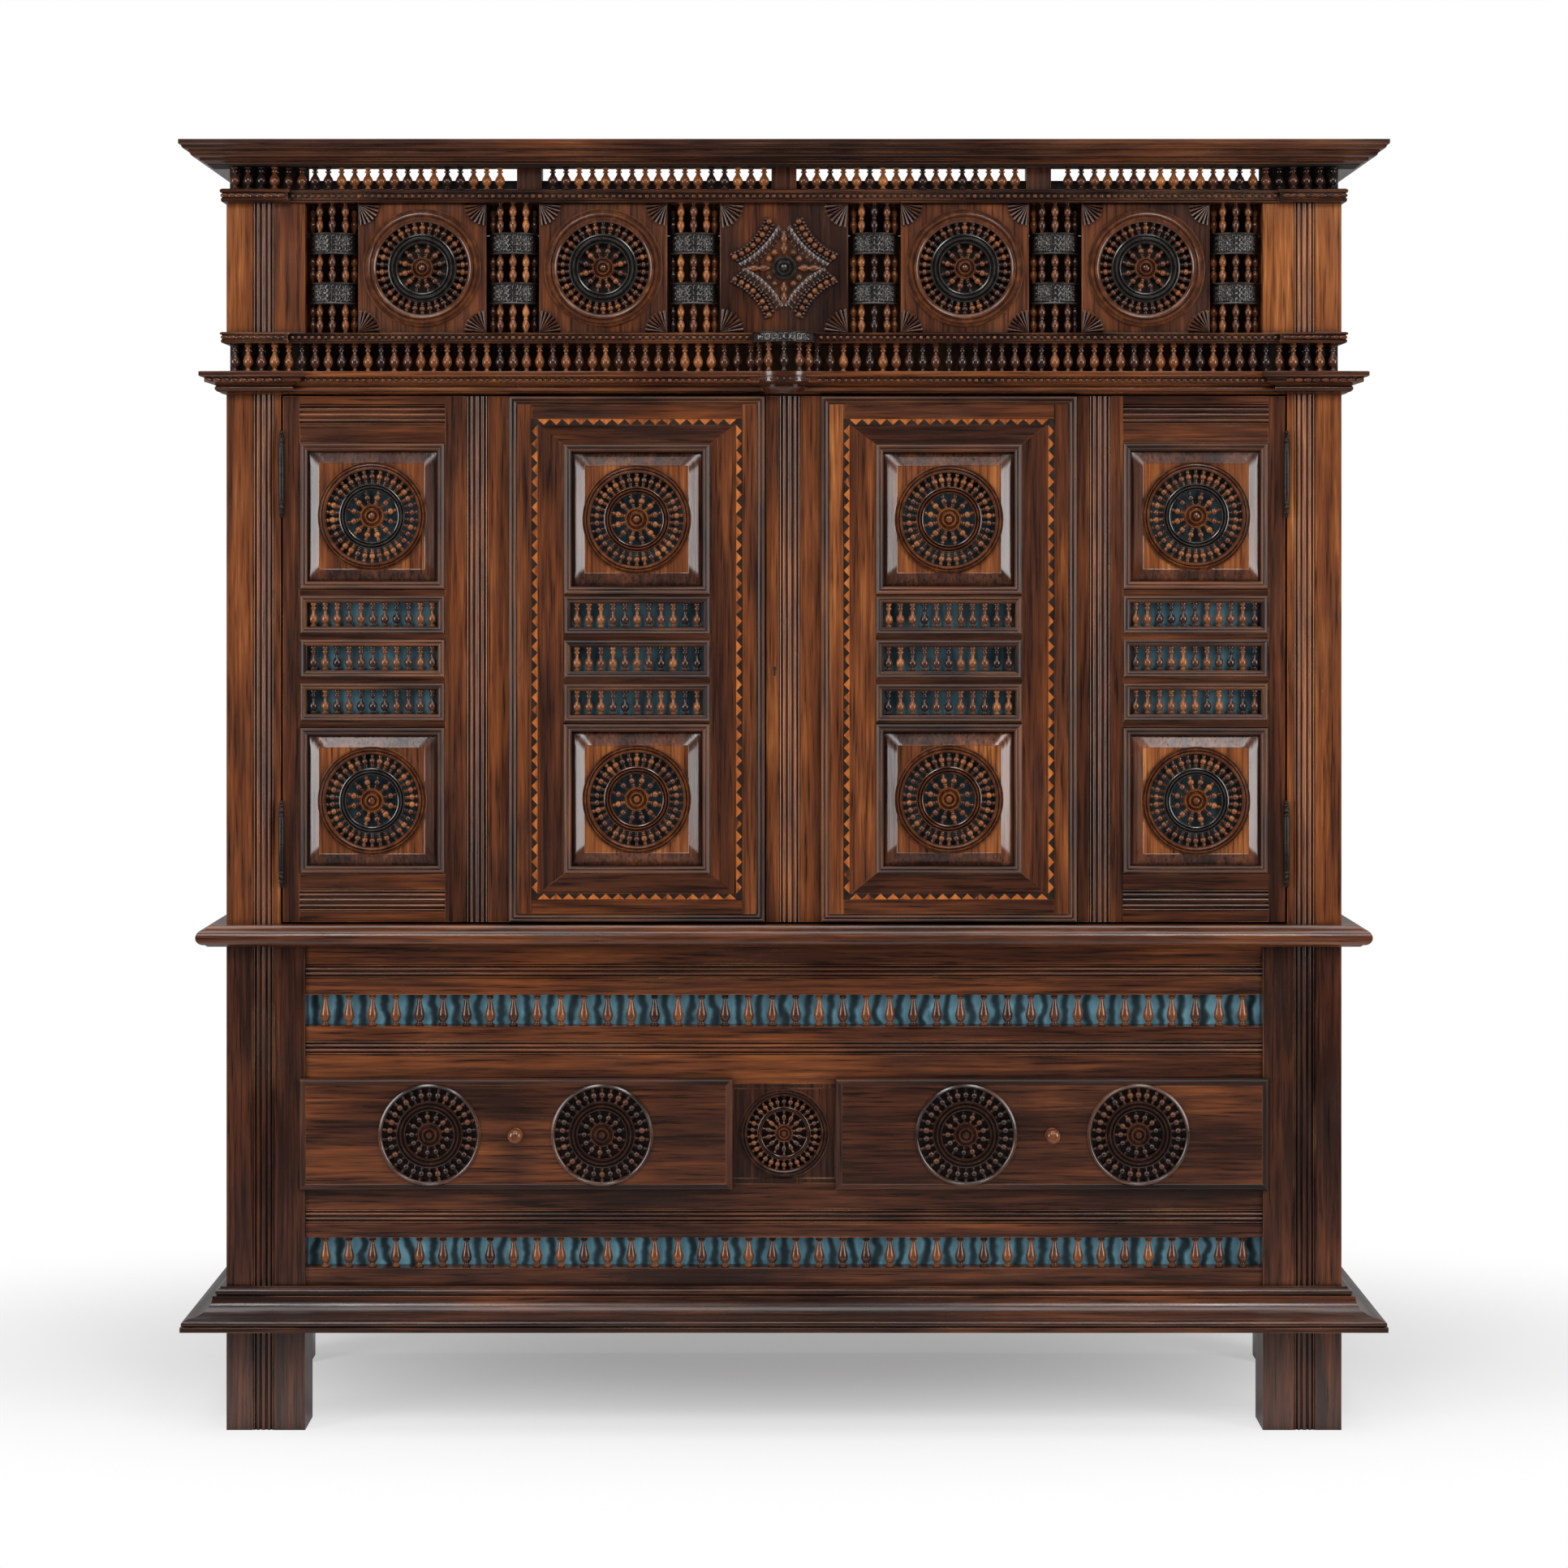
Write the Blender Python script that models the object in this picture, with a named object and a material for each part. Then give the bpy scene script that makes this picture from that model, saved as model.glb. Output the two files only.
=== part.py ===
"""A two-stage oak armoire with turned spindle galleries, spindle wheels, two doors and two drawers.

Units are metres, +Z is up and -Y is the front. The floor is Z = 0.
"""
import math

import bmesh
import bpy
from mathutils import Matrix, Vector

# Overall body
BODY_WIDTH = 1.786
BODY_DEPTH = 0.540
GAP = 0.0003

# Heights, stacked from the floor up
FOOT_HEIGHT = 0.170
BASE_HEIGHT = 0.062
BOTTOM_RAIL_SHOWN = 0.027
LOWER_GALLERY = 0.049
LOWER_RAIL_HEIGHT = 0.086
DRAWER_OPENING = 0.161
MIDDLE_RAIL_HEIGHT = 0.091
UPPER_GALLERY = 0.051
TOP_RAIL_HEIGHT = 0.080
WAIST_THICKNESS = 0.034
LOWER_CORNICE_HEIGHT = 0.035
FRIEZE_GALLERY = 0.046
LOWER_BEAD_HEIGHT = 0.018
FRIEZE_HEIGHT = 0.207
UPPER_BEAD_HEIGHT = 0.022
TOP_GALLERY = 0.038
CORNICE_HEIGHT = 0.035

# How far each moulding stands out from the posts
BASE_OVERHANG = 0.064
WAIST_OVERHANG = 0.043
LOWER_CORNICE_OVERHANG = 0.037
BEAD_OVERHANG = 0.008
CORNICE_OVERHANG = 0.066
CORNER_PROUD = 0.010
CORNER_WIDTH = 0.103

# Posts, boards and reeding
POST_WIDTH = 0.126
POST_DEPTH = 0.085
POST_FACE = 0.087
DOOR_STOP = 0.022
BACK_LEG_WIDTH = 0.070
BACK_LEG_DEPTH = 0.060
REED_WIDTH = 0.0115
REED_COUNT = 3
REED_DEPTH = 0.004
POST_REED_START = 0.042
RAIL_SETBACK = 0.004
RAIL_THICKNESS = 0.030
SIDE_THICKNESS = 0.022
SIDE_SETBACK = 0.006
SIDE_BORDER = 0.075
FIELD_DEPTH = 0.006
BACK_THICKNESS = 0.018
BACK_PLANKS = 8
PLANK_GROOVE = 0.004
HEADER_DEPTH = 0.036
ROOF_THICKNESS = 0.016
ROOF_SEAT = 0.013
SHELF_THICKNESS = 0.022
SHELF_HEIGHT = 0.420
SHELF_SETBACK = 0.010
CLEAT = 0.022

# Doors
DOOR_THICKNESS = 0.024
DOOR_CLEARANCE = 0.003
HINGE_SLIT = 0.003
REBATE_CLEARANCE = 0.002
MEETING_OFFSET = -0.0293
MEETING_GAP = 0.002
OUTER_STILE = 0.027
LEADING_STILE = 0.087
PANEL_WIDTH = 0.233
PANEL_HEIGHT = 0.2345
DOOR_TOP_RAIL = 0.075
DOOR_BOTTOM_RAIL = 0.077
WINDOW_HEIGHT = 0.039
WINDOW_RAIL = 0.031
WINDOW_LIP = 0.011
WINDOW_ROWS = 3
WINDOW_SPACE = 0.221
WINDOW_SPINDLES = 11
LEFT_MID_STILE = 0.1027
RIGHT_MID_STILE = 0.0743
INLAY_PANEL_WIDTH = 0.208
MARQUETRY_RAIL = 0.077
MARQUETRY_PANEL_EXTRA = 0.0065
MARQUETRY_PROUD = 0.010
MARQUETRY_THICKNESS = 0.022
MARQUETRY_SEAT = 0.020
PANEL_THICKNESS = 0.016
PANEL_BEVEL = 0.018
PANEL_RISE = 0.004
PANEL_MOULDING = 0.012
MOULDING_RISE = 0.004
MOULDING_SINK = 0.004

# Hinges and lock
HINGE_LENGTH = 0.140
HINGE_RADIUS = 0.0045
HINGE_STANDOFF = 0.0007
HINGE_FINIAL = 0.014
HINGE_LEAF = 0.0018
HINGE_LEAF_DEPTH = 0.020
HINGE_PIN_RADIUS = 0.0023
HINGE_BORE_CLEARANCE = 0.0004
HINGE_INSET = 0.125
LOCK_HEIGHT = 0.406
LOCK_CASE = (0.072, 0.014, 0.090)
LOCK_EDGE = 0.002
BOLT_SIZE = (0.050, 0.006, 0.020)
KEYHOLE_RADIUS = 0.0035
KEYHOLE_SLOT = 0.012
KEYHOLE_EDGE = 0.013

# Drawers
DIVIDER_WIDTH = 0.182
DRAWER_LIP = 0.009
DRAWER_LIP_THICKNESS = 0.014
DRAWER_PLUG = 0.010
DRAWER_CLEARANCE = 0.0015
DRAWER_LENGTH = 0.430
DRAWER_WALL = 0.012
DRAWER_WALL_HEIGHT = 0.135
BEARER_THICKNESS = 0.018
GUIDE_HEIGHT = 0.014
KNOB_RADIUS = 0.012
KNOB_LENGTH = 0.026

# Turned work
GALLERY_PITCH = 0.0213
GALLERY_RADIUS = 0.0068
CHEST_SPINDLES = 40
CHEST_GALLERY_MARGIN = 0.012
CHEST_SPINDLE_RADIUS = 0.0072
WINDOW_SPINDLE_RADIUS = 0.0058
BLOCK_WIDTH = 0.040
BLOCK_SPACING = 0.408
GALLERY_LEDGE_DEPTH = 0.012
GALLERY_LEDGE_HEIGHT = 0.014
FRIEZE_PANEL = 0.206
FRIEZE_PANEL_SETBACK = 0.004
FAN_RADIUS = 0.035
FAN_FLUTES = 3
FAN_SCALLOP = 0.003
FAN_RISE = 0.003
STAR_REACH = 0.078
STAR_NOTCH = 0.026
STAR_BAR = 0.024
STAR_RISE = 0.005
STAR_BOSS = 0.019
CLUSTER_SPINDLES = 5
CLUSTER_SPREAD = 72
CLUSTER_BAND = 0.035
CLUSTER_BAND_SPACING = 0.080
CLUSTER_CLEARANCE = 0.0015
BRACKET_RADIUS = 0.050
BRACKET_BAND = 0.024
SPINDLE_SEAT = 0.002
WHEEL_SIDES = 12
WHEEL_RADIUS = 0.074
WHEEL_RIM = 0.013
WHEEL_RING_OUTER = 0.053
WHEEL_RING_INNER = 0.038
WHEEL_HUB = 0.019
WHEEL_RECESS = 0.009
WHEEL_BEAD = 0.005
FRIEZE_RIM = 0.022
DRAWER_WHEEL_SPACING = 0.138
DRAWER_WHEEL_DEPTH = 0.010
DRAWER_WHEEL_RIM = 0.007
DRAWER_RIM_RISE = 0.003
CENTRE_WHEEL_RADIUS = 0.060

# Curtains
CLOTH_THICKNESS = 0.0016
CLOTH_FOLD = 0.005
CLOTH_OVERLAP = 0.004
CHEST_FOLD_PITCH = 0.120
DOOR_FOLD_PITCH = 0.058

# Facets
FOLD_STEPS = 4
REED_STEPS = 3
SMOOTH_ANGLE = math.radians(35)
PROUD = 0.002
SPINDLE_FORM = ((0.55, 0.0), (1.0, 0.38), (0.5, 1.0))
CLUSTER_FORM = ((0.7, 0.0), (1.0, 0.16), (0.8, 0.5), (1.0, 0.84), (0.7, 1.0))

# Levels and planes worked out from the sizes above
BASE_TOP = FOOT_HEIGHT + BASE_HEIGHT
BOTTOM_RAIL_TOP = BASE_TOP + BOTTOM_RAIL_SHOWN
LOWER_RAIL_BASE = BOTTOM_RAIL_TOP + LOWER_GALLERY
DRAWER_BASE = LOWER_RAIL_BASE + LOWER_RAIL_HEIGHT
DRAWER_TOP = DRAWER_BASE + DRAWER_OPENING
MIDDLE_RAIL_TOP = DRAWER_TOP + MIDDLE_RAIL_HEIGHT
TOP_RAIL_BASE = MIDDLE_RAIL_TOP + UPPER_GALLERY
WAIST_BASE = TOP_RAIL_BASE + TOP_RAIL_HEIGHT
WAIST_TOP = WAIST_BASE + WAIST_THICKNESS
DOOR_BASE = WAIST_TOP + DOOR_CLEARANCE
DOOR_TOP = DOOR_BASE + DOOR_BOTTOM_RAIL + DOOR_TOP_RAIL + 2 * PANEL_HEIGHT + WINDOW_SPACE
MARQUETRY_PANEL_HEIGHT = PANEL_HEIGHT + MARQUETRY_PANEL_EXTRA
LOWER_CORNICE_BASE = DOOR_TOP + DOOR_CLEARANCE
LOWER_CORNICE_TOP = LOWER_CORNICE_BASE + LOWER_CORNICE_HEIGHT
LOWER_BEAD_BASE = LOWER_CORNICE_TOP + FRIEZE_GALLERY
FRIEZE_BASE = LOWER_BEAD_BASE + LOWER_BEAD_HEIGHT
FRIEZE_TOP = FRIEZE_BASE + FRIEZE_HEIGHT
UPPER_BEAD_TOP = FRIEZE_TOP + UPPER_BEAD_HEIGHT
CORNICE_BASE = UPPER_BEAD_TOP + TOP_GALLERY

HALF_WIDTH = BODY_WIDTH / 2
REACH = max(BASE_OVERHANG, CORNICE_OVERHANG)
FRONT = REACH / 2 - BODY_DEPTH / 2
BACK = FRONT + BODY_DEPTH
BACK_FACE = BACK - BACK_THICKNESS
POST_INNER = HALF_WIDTH - POST_WIDTH
POST_BACK = FRONT + POST_DEPTH
SIDE_OUTER = HALF_WIDTH - SIDE_SETBACK
SIDE_INNER = SIDE_OUTER - SIDE_THICKNESS
RAIL_FACE = FRONT + RAIL_SETBACK
RAIL_BACK = RAIL_FACE + RAIL_THICKNESS
HEADER_BACK = FRONT + HEADER_DEPTH - GAP
SHELF_TOP = WAIST_TOP + SHELF_HEIGHT

REBATE_EDGE = HALF_WIDTH - POST_FACE
HINGE_EDGE = REBATE_EDGE - HINGE_SLIT
HINGE_AXIS = REBATE_EDGE - HINGE_SLIT / 2
HINGE_AXIS_Y = FRONT - HINGE_RADIUS - HINGE_STANDOFF
DOOR_BACK = FRONT + DOOR_THICKNESS
PANEL_OUTER = HINGE_EDGE - OUTER_STILE
PANEL_INNER = PANEL_OUTER - PANEL_WIDTH
HINGE_LEVELS = {"lower": DOOR_BASE + HINGE_INSET, "upper": DOOR_TOP - HINGE_INSET}
LOCK_LEVEL = DOOR_BASE + LOCK_HEIGHT

DRAWER_INNER = DIVIDER_WIDTH / 2
DRAWER_CENTRE = (DRAWER_INNER + POST_INNER) / 2
DRAWER_LEVEL = (DRAWER_BASE + DRAWER_TOP) / 2

FRIEZE_BAY = (2 * POST_INNER - 5 * FRIEZE_PANEL) / 6
FRIEZE_PITCH = FRIEZE_PANEL + FRIEZE_BAY
FRIEZE_CENTRE = (FRIEZE_BASE + FRIEZE_TOP) / 2
CLUSTER_RADIUS = FRIEZE_BAY / 2 - CLUSTER_CLEARANCE
SIDES = {"left": -1, "right": 1}


# Materials

def finish(name, colour, roughness, metallic=0.0):
    """A plain surface finish with one colour."""
    material = bpy.data.materials.new(name)
    material.use_nodes = True
    shader = material.node_tree.nodes["Principled BSDF"]
    shader.inputs["Base Color"].default_value = (*colour, 1.0)
    shader.inputs["Roughness"].default_value = roughness
    shader.inputs["Metallic"].default_value = metallic
    return material


# Mesh helpers

def link(name, data):
    """Put a new object in the scene."""
    obj = bpy.data.objects.new(name, data)
    bpy.context.scene.collection.objects.link(obj)
    return obj


def pivot(name, location):
    """An empty on a joint's axis, to carry the pieces that move with it."""
    empty = link(name, None)
    empty.location = location
    return empty


def make(name, bm, material, carrier=None):
    """Turn a bmesh in world coordinates into a named object, under its carrier if it moves."""
    bmesh.ops.recalc_face_normals(bm, faces=bm.faces)
    if carrier:
        bmesh.ops.translate(bm, verts=bm.verts, vec=-carrier.location)
    mesh = bpy.data.meshes.new(name)
    bm.to_mesh(mesh)
    bm.free()
    mesh.materials.append(material)
    mesh.shade_smooth()
    mesh.set_sharp_from_angle(angle=SMOOTH_ANGLE)
    obj = link(name, mesh)
    obj.parent = carrier
    return obj


def combine(target, tool, operation):
    """Cut the tool out of the target, or join it on, and hide the tool."""
    modifier = target.modifiers.new(tool.name, "BOOLEAN")
    modifier.operation = operation
    modifier.solver = "EXACT"
    modifier.object = tool
    tool.hide_render = True
    tool.display_type = "WIRE"


def cut(target, bm, name):
    """Cut a bmesh out of an object."""
    combine(target, make(name, bm, WOOD), "DIFFERENCE")


def join(target, bm, name):
    """Join a bmesh on to an object."""
    combine(target, make(name, bm, WOOD), "UNION")


def add_box(bm, x, y, z):
    """Add a box that spans three (low, high) ranges, given in either order."""
    spans = (x, y, z)
    centre = Vector([(a + b) / 2 for a, b in spans])
    size = [abs(b - a) for a, b in spans]
    place = Matrix.Translation(centre) @ Matrix.Diagonal((*size, 1))
    return bmesh.ops.create_cube(bm, size=1, matrix=place)["verts"]


def add_extrusion(bm, outline, travel):
    """Extrude a closed outline of points along a vector, with both ends capped."""
    near = [bm.verts.new(point) for point in outline]
    far = [bm.verts.new(Vector(point) + Vector(travel)) for point in outline]
    bm.faces.new(near)
    bm.faces.new(reversed(far))
    count = len(outline)
    for i in range(count):
        j = (i + 1) % count
        bm.faces.new((near[i], near[j], far[j], far[i]))


def add_rings(bm, rings, closed=False):
    """Skin a stack of point rings; the ends are capped unless the stack closes on itself."""
    stack = [[bm.verts.new(point) for point in ring] for ring in rings]
    pairs = list(zip(stack, stack[1:]))
    if closed:
        pairs.append((stack[-1], stack[0]))
    else:
        bm.faces.new(stack[0])
        bm.faces.new(reversed(stack[-1]))
    for low, high in pairs:
        count = len(low)
        for i in range(count):
            j = (i + 1) % count
            bm.faces.new((low[i], low[j], high[j], high[i]))


def add_turning(bm, profile, sides, foot, axis="Z", closed=False):
    """Revolve (radius, height) points about an axis that stands on the point foot."""
    foot = Vector(foot)
    turn = Matrix.Rotation(math.pi / 2, 3, "X") if axis == "-Y" else Matrix.Identity(3)
    rings = []
    for radius, height in profile:
        ring = []
        for i in range(sides):
            angle = 2 * math.pi * (i + 0.5) / sides
            point = Vector((radius * math.cos(angle), radius * math.sin(angle), height))
            ring.append(foot + turn @ point)
        rings.append(ring)
    add_rings(bm, rings, closed)


def add_spindle(bm, x, y, low, high, radius, sides=4, form=SPINDLE_FORM):
    """Stand one turned spindle between two levels."""
    profile = [(radius * swell, (high - low) * level) for swell, level in form]
    add_turning(bm, profile, sides, (x, y, low))


def add_plate(bm, xs, zs, y, is_open):
    """Add a plate on a grid of cells, leaving out each cell that is_open names."""
    points = {}

    def corner(i, j, k):
        if (i, j, k) not in points:
            points[i, j, k] = bm.verts.new((xs[i], y[k], zs[j]))
        return points[i, j, k]

    columns, rows = len(xs) - 1, len(zs) - 1
    filled = {(i, j) for i in range(columns) for j in range(rows) if not is_open(i, j)}
    for i, j in filled:
        corners = ((i, j), (i + 1, j), (i + 1, j + 1), (i, j + 1))
        for k in (0, 1):
            bm.faces.new([corner(a, b, k) for a, b in corners])
        neighbours = ((i, j - 1), (i + 1, j), (i, j + 1), (i - 1, j))
        for side, neighbour in enumerate(neighbours):
            if neighbour in filled:
                continue
            (a, b), (c, d) = corners[side], corners[(side + 1) % 4]
            bm.faces.new((corner(a, b, 0), corner(c, d, 0), corner(c, d, 1), corner(a, b, 1)))
    bmesh.ops.recalc_face_normals(bm, faces=bm.faces)
    bmesh.ops.dissolve_limit(bm, angle_limit=math.radians(1), verts=bm.verts, edges=bm.edges)


def mitre(path, index):
    """The outward mitre vector at one point of a plan path that runs left to right along the front."""
    normals = []
    for a, b in ((index - 1, index), (index, index + 1)):
        if a >= 0 and b < len(path):
            step = (Vector(path[b]) - Vector(path[a])).normalized()
            normals.append(Vector((step.y, -step.x)))
    if len(normals) == 1:
        return normals[0]
    return (normals[0] + normals[1]) / (1 + normals[0].dot(normals[1]))


def add_moulding(bm, path, inner, profile, base):
    """Sweep (outward, height) points round a plan path with mitred corners, backed by an inner path."""
    rings = []
    for index, ((x, y), (back_x, back_y)) in enumerate(zip(path, inner)):
        out = mitre(path, index)
        ring = [(back_x, back_y, base + profile[0][1])]
        ring += [(x + out.x * u, y + out.y * u, base + v) for u, v in profile]
        ring.append((back_x, back_y, base + profile[-1][1]))
        rings.append(ring)
    add_rings(bm, rings)


def plain_path(back=0.0):
    """Round the left side, front and right side of the body, set in by back."""
    x, y = HALF_WIDTH - back, FRONT + back
    return [(-x, BACK), (-x, y), (x, y), (x, BACK)]


def broken_path():
    """The same round, with each front corner standing a little proud."""
    x, y = HALF_WIDTH, FRONT
    step = HALF_WIDTH + BEAD_OVERHANG - CORNER_WIDTH
    left = [(-x, BACK), (-x, y - CORNER_PROUD), (-step, y - CORNER_PROUD), (-step, y)]
    return left + [(-a, b) for a, b in reversed(left)]


def broken_inner(side_x):
    """The inner line that matches broken_path, with a deep front beam."""
    step = HALF_WIDTH + BEAD_OVERHANG - CORNER_WIDTH
    left = [(-side_x, BACK), (-side_x, HEADER_BACK)]
    left += [(-step - CORNER_PROUD, HEADER_BACK), (-step + CORNER_PROUD, HEADER_BACK)]
    return left + [(-a, b) for a, b in reversed(left)]


def reed_band(start, count=REED_COUNT):
    """Points (across, sunk) over a band of half-round reeds that lie just below their face."""
    steps = count * REED_STEPS
    band = [(start, 0.0)]
    for step in range(steps + 1):
        swell = abs(math.sin(math.pi * step / REED_STEPS))
        band.append((start + REED_WIDTH * step / REED_STEPS, REED_DEPTH * (1 - swell)))
    band.append((start + count * REED_WIDTH, 0.0))
    return band


def add_reed_cutter(bm, start, face, spread, travel):
    """Add the waste of one band of reeds; spread gives the point for (across, depth from the face)."""
    band = reed_band(start)
    outline = band + [(band[-1][0], -PROUD), (band[0][0], -PROUD)]
    add_extrusion(bm, [spread(across, face + sunk) for across, sunk in outline], travel)


def spaced(start, end, count):
    """Middles of count equal steps between two places."""
    step = (end - start) / count
    return [start + step * (i + 0.5) for i in range(count)]


# Pieces shared by the chest and the cabinet

def board(name, x, y, z, material, carrier=None):
    """A plain board."""
    bm = bmesh.new()
    add_box(bm, x, y, z)
    return make(name, bm, material, carrier)


def post(name, side, low, high):
    """A front post with a band of reeds down its face."""
    face = [(0.0, 0.0)] + reed_band(POST_REED_START) + [(POST_WIDTH, 0.0)]
    plan = face + [(POST_WIDTH, POST_DEPTH), (0.0, POST_DEPTH)]
    outline = [(side * (HALF_WIDTH - across), FRONT + back, low) for across, back in plan]
    bm = bmesh.new()
    add_extrusion(bm, outline, (0, 0, high - low))
    return make(name, bm, WOOD)


def side_panel(name, side, low, high, leg_low, leg_high):
    """A side board with a sunk field, glued to its back leg."""
    x = (side * SIDE_INNER, side * SIDE_OUTER)
    leg_front = BACK_FACE - GAP - BACK_LEG_DEPTH
    bm = bmesh.new()
    add_box(bm, x, (POST_BACK + GAP, leg_front + CLEAT), (low, high))
    outer = [face for face in bm.faces if face.normal.x * side > 0.5]
    bmesh.ops.inset_region(bm, faces=outer, thickness=SIDE_BORDER)
    bmesh.ops.inset_region(bm, faces=outer, thickness=FIELD_DEPTH, depth=-FIELD_DEPTH)
    panel = make(name, bm, WOOD)
    leg = bmesh.new()
    leg_x = (side * (HALF_WIDTH - BACK_LEG_WIDTH), side * HALF_WIDTH)
    add_box(leg, leg_x, (leg_front, BACK_FACE - GAP), (leg_low, leg_high))
    join(panel, leg, name + "_leg")
    return panel


def reeded_rail(name, x, low, high, reeds_low):
    """A front rail with a band of reeds along its face."""
    face = [(low, 0.0)] + reed_band(reeds_low, 2) + [(high, 0.0)]
    outline = [(x[0], RAIL_FACE + sunk, z) for z, sunk in face]
    outline += [(x[0], RAIL_BACK, high), (x[0], RAIL_BACK, low)]
    bm = bmesh.new()
    add_extrusion(bm, outline, (x[1] - x[0], 0, 0))
    return make(name, bm, WOOD)


def curtain(name, x, y, z, pitch, carrier=None):
    """A gathered cloth: a thin sheet with a row of soft folds."""
    folds = max(1, round((x[1] - x[0]) / pitch))
    steps = folds * FOLD_STEPS
    line = []
    for i in range(steps + 1):
        wave = math.cos(2 * math.pi * i / FOLD_STEPS)
        line.append((x[0] + (x[1] - x[0]) * i / steps, y + CLOTH_FOLD / 2 * wave))
    half = CLOTH_THICKNESS / 2
    outline = [(a, b - half, z[0]) for a, b in line]
    outline += [(a, b + half, z[0]) for a, b in reversed(line)]
    bm = bmesh.new()
    add_extrusion(bm, outline, (0, 0, z[1] - z[0]))
    return make(name, bm, CLOTH, carrier)


def around(count, rectangle, half_width, half_height):
    """Points (across, up) round a rectangle or an ellipse, matched angle for angle."""
    points = []
    for i in range(count):
        angle = math.pi / 4 + 2 * math.pi * i / count
        a, b = math.cos(angle), math.sin(angle)
        if rectangle:
            stretch = max(abs(a), abs(b))
            a, b = a / stretch, b / stretch
        points.append((half_width * a, half_height * b))
    return points


def wheel_levels(radius, rim, face):
    """(radius, forward) steps over a turned wheel: rim bead, spindle ring, middle ring and hub."""
    scale = radius / WHEEL_RADIUS
    ring = (WHEEL_RING_OUTER + WHEEL_RING_INNER) / 2
    floor = face - WHEEL_RECESS
    return [
        (radius + rim, face),
        (radius + rim / 2, face + WHEEL_BEAD),
        (radius, floor),
        (WHEEL_RING_OUTER * scale, floor),
        (ring * scale, face + WHEEL_BEAD),
        (WHEEL_RING_INNER * scale, floor),
        (WHEEL_HUB * scale, floor),
        (WHEEL_HUB * scale * 0.7, face + WHEEL_BEAD),
    ]


def wheel_panel(name, centre, size, back, thickness, wheel, carrier=None, raised=True):
    """A panel with a wheel of a given (opening radius, rim width); a raised one has a moulded border."""
    x, z = centre
    half_width, half_height = size[0] / 2 - GAP, size[1] / 2 - GAP
    border = [(0.0, 0.0), (0.0, thickness)]
    if raised:
        border.append((PANEL_MOULDING / 2, thickness + MOULDING_RISE))
        border.append((PANEL_MOULDING, thickness - MOULDING_SINK))
        border.append((PANEL_MOULDING + PANEL_BEVEL, thickness + PANEL_RISE))
    steps = [(True, half_width - inset, half_height - inset, forward) for inset, forward in border]
    for radius, forward in wheel_levels(*wheel, border[-1][1]):
        steps.append((False, radius, radius, forward))
    rings = []
    for rectangle, across, up, forward in steps:
        ring = around(WHEEL_SIDES, rectangle, across, up)
        rings.append([(x + a, back - forward, z + b) for a, b in ring])
    bm = bmesh.new()
    add_rings(bm, rings)
    return make(name, bm, WOOD, carrier)


# The chest

def chest_frame():
    """Posts, sides, rails and galleries of the lower stage."""
    for word, side in SIDES.items():
        post(f"chest_post_{word}", side, 0.0, WAIST_BASE - GAP)
        side_panel(f"chest_side_{word}", side, FOOT_HEIGHT, WAIST_BASE - GAP, 0.0, WAIST_BASE - GAP)
    span = (GAP - POST_INNER, POST_INNER - GAP)
    y = (RAIL_FACE, RAIL_BACK)
    bottom = board("chest_bottom_rail", span, y, (FOOT_HEIGHT, BOTTOM_RAIL_TOP), WOOD)
    reeded_rail("chest_lower_rail", span, LOWER_RAIL_BASE, DRAWER_BASE, LOWER_RAIL_BASE + REED_WIDTH * 2)
    middle = reeded_rail("chest_middle_rail", span, DRAWER_TOP, MIDDLE_RAIL_TOP,
                         MIDDLE_RAIL_TOP - REED_WIDTH * 4)
    reeded_rail("chest_top_rail", span, TOP_RAIL_BASE, WAIST_BASE - GAP, TOP_RAIL_BASE + REED_WIDTH * 2)
    chest_gallery(bottom, BOTTOM_RAIL_TOP, LOWER_RAIL_BASE)
    chest_gallery(middle, MIDDLE_RAIL_TOP, TOP_RAIL_BASE)


def chest_gallery(rail, low, high):
    """Stand a row of balusters on a rail."""
    bm = bmesh.new()
    reach = POST_INNER - CHEST_GALLERY_MARGIN
    for x in spaced(-reach, reach, CHEST_SPINDLES):
        y = RAIL_FACE + CHEST_SPINDLE_RADIUS + PROUD
        add_spindle(bm, x, y, low - SPINDLE_SEAT, high - GAP, CHEST_SPINDLE_RADIUS)
    join(rail, bm, rail.name + "_balusters")


def base_moulding():
    """The wide ogee skirt round the chest."""
    reach, height = BASE_OVERHANG, BASE_HEIGHT
    profile = [
        (reach, 0.0), (reach, height * 0.16), (reach * 0.90, height * 0.20), (reach * 0.86, height * 0.34),
        (reach * 0.60, height * 0.46), (reach * 0.40, height * 0.62), (reach * 0.30, height * 0.82),
        (reach * 0.16, height * 0.86), (reach * 0.14, height),
    ]
    bm = bmesh.new()
    add_moulding(bm, plain_path(), plain_path(-GAP), profile, FOOT_HEIGHT)
    make("base_moulding", bm, WOOD)


def waist_shelf():
    """The board between the two stages, with a rounded front and sides."""
    x = HALF_WIDTH + WAIST_OVERHANG
    bm = bmesh.new()
    add_box(bm, (-x, x), (FRONT - WAIST_OVERHANG, BACK_FACE - GAP), (WAIST_BASE, WAIST_TOP - GAP))
    back = BACK_FACE - GAP
    edges = [e for e in bm.edges if any(abs(v.co.y - back) > PROUD for v in e.verts)]
    edges = [e for e in edges if abs(e.verts[0].co.z - e.verts[1].co.z) < PROUD]
    bmesh.ops.bevel(bm, geom=edges, offset=WAIST_THICKNESS * 0.36, segments=2, profile=0.5, affect="EDGES")
    make("waist_shelf", bm, WOOD)


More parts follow.
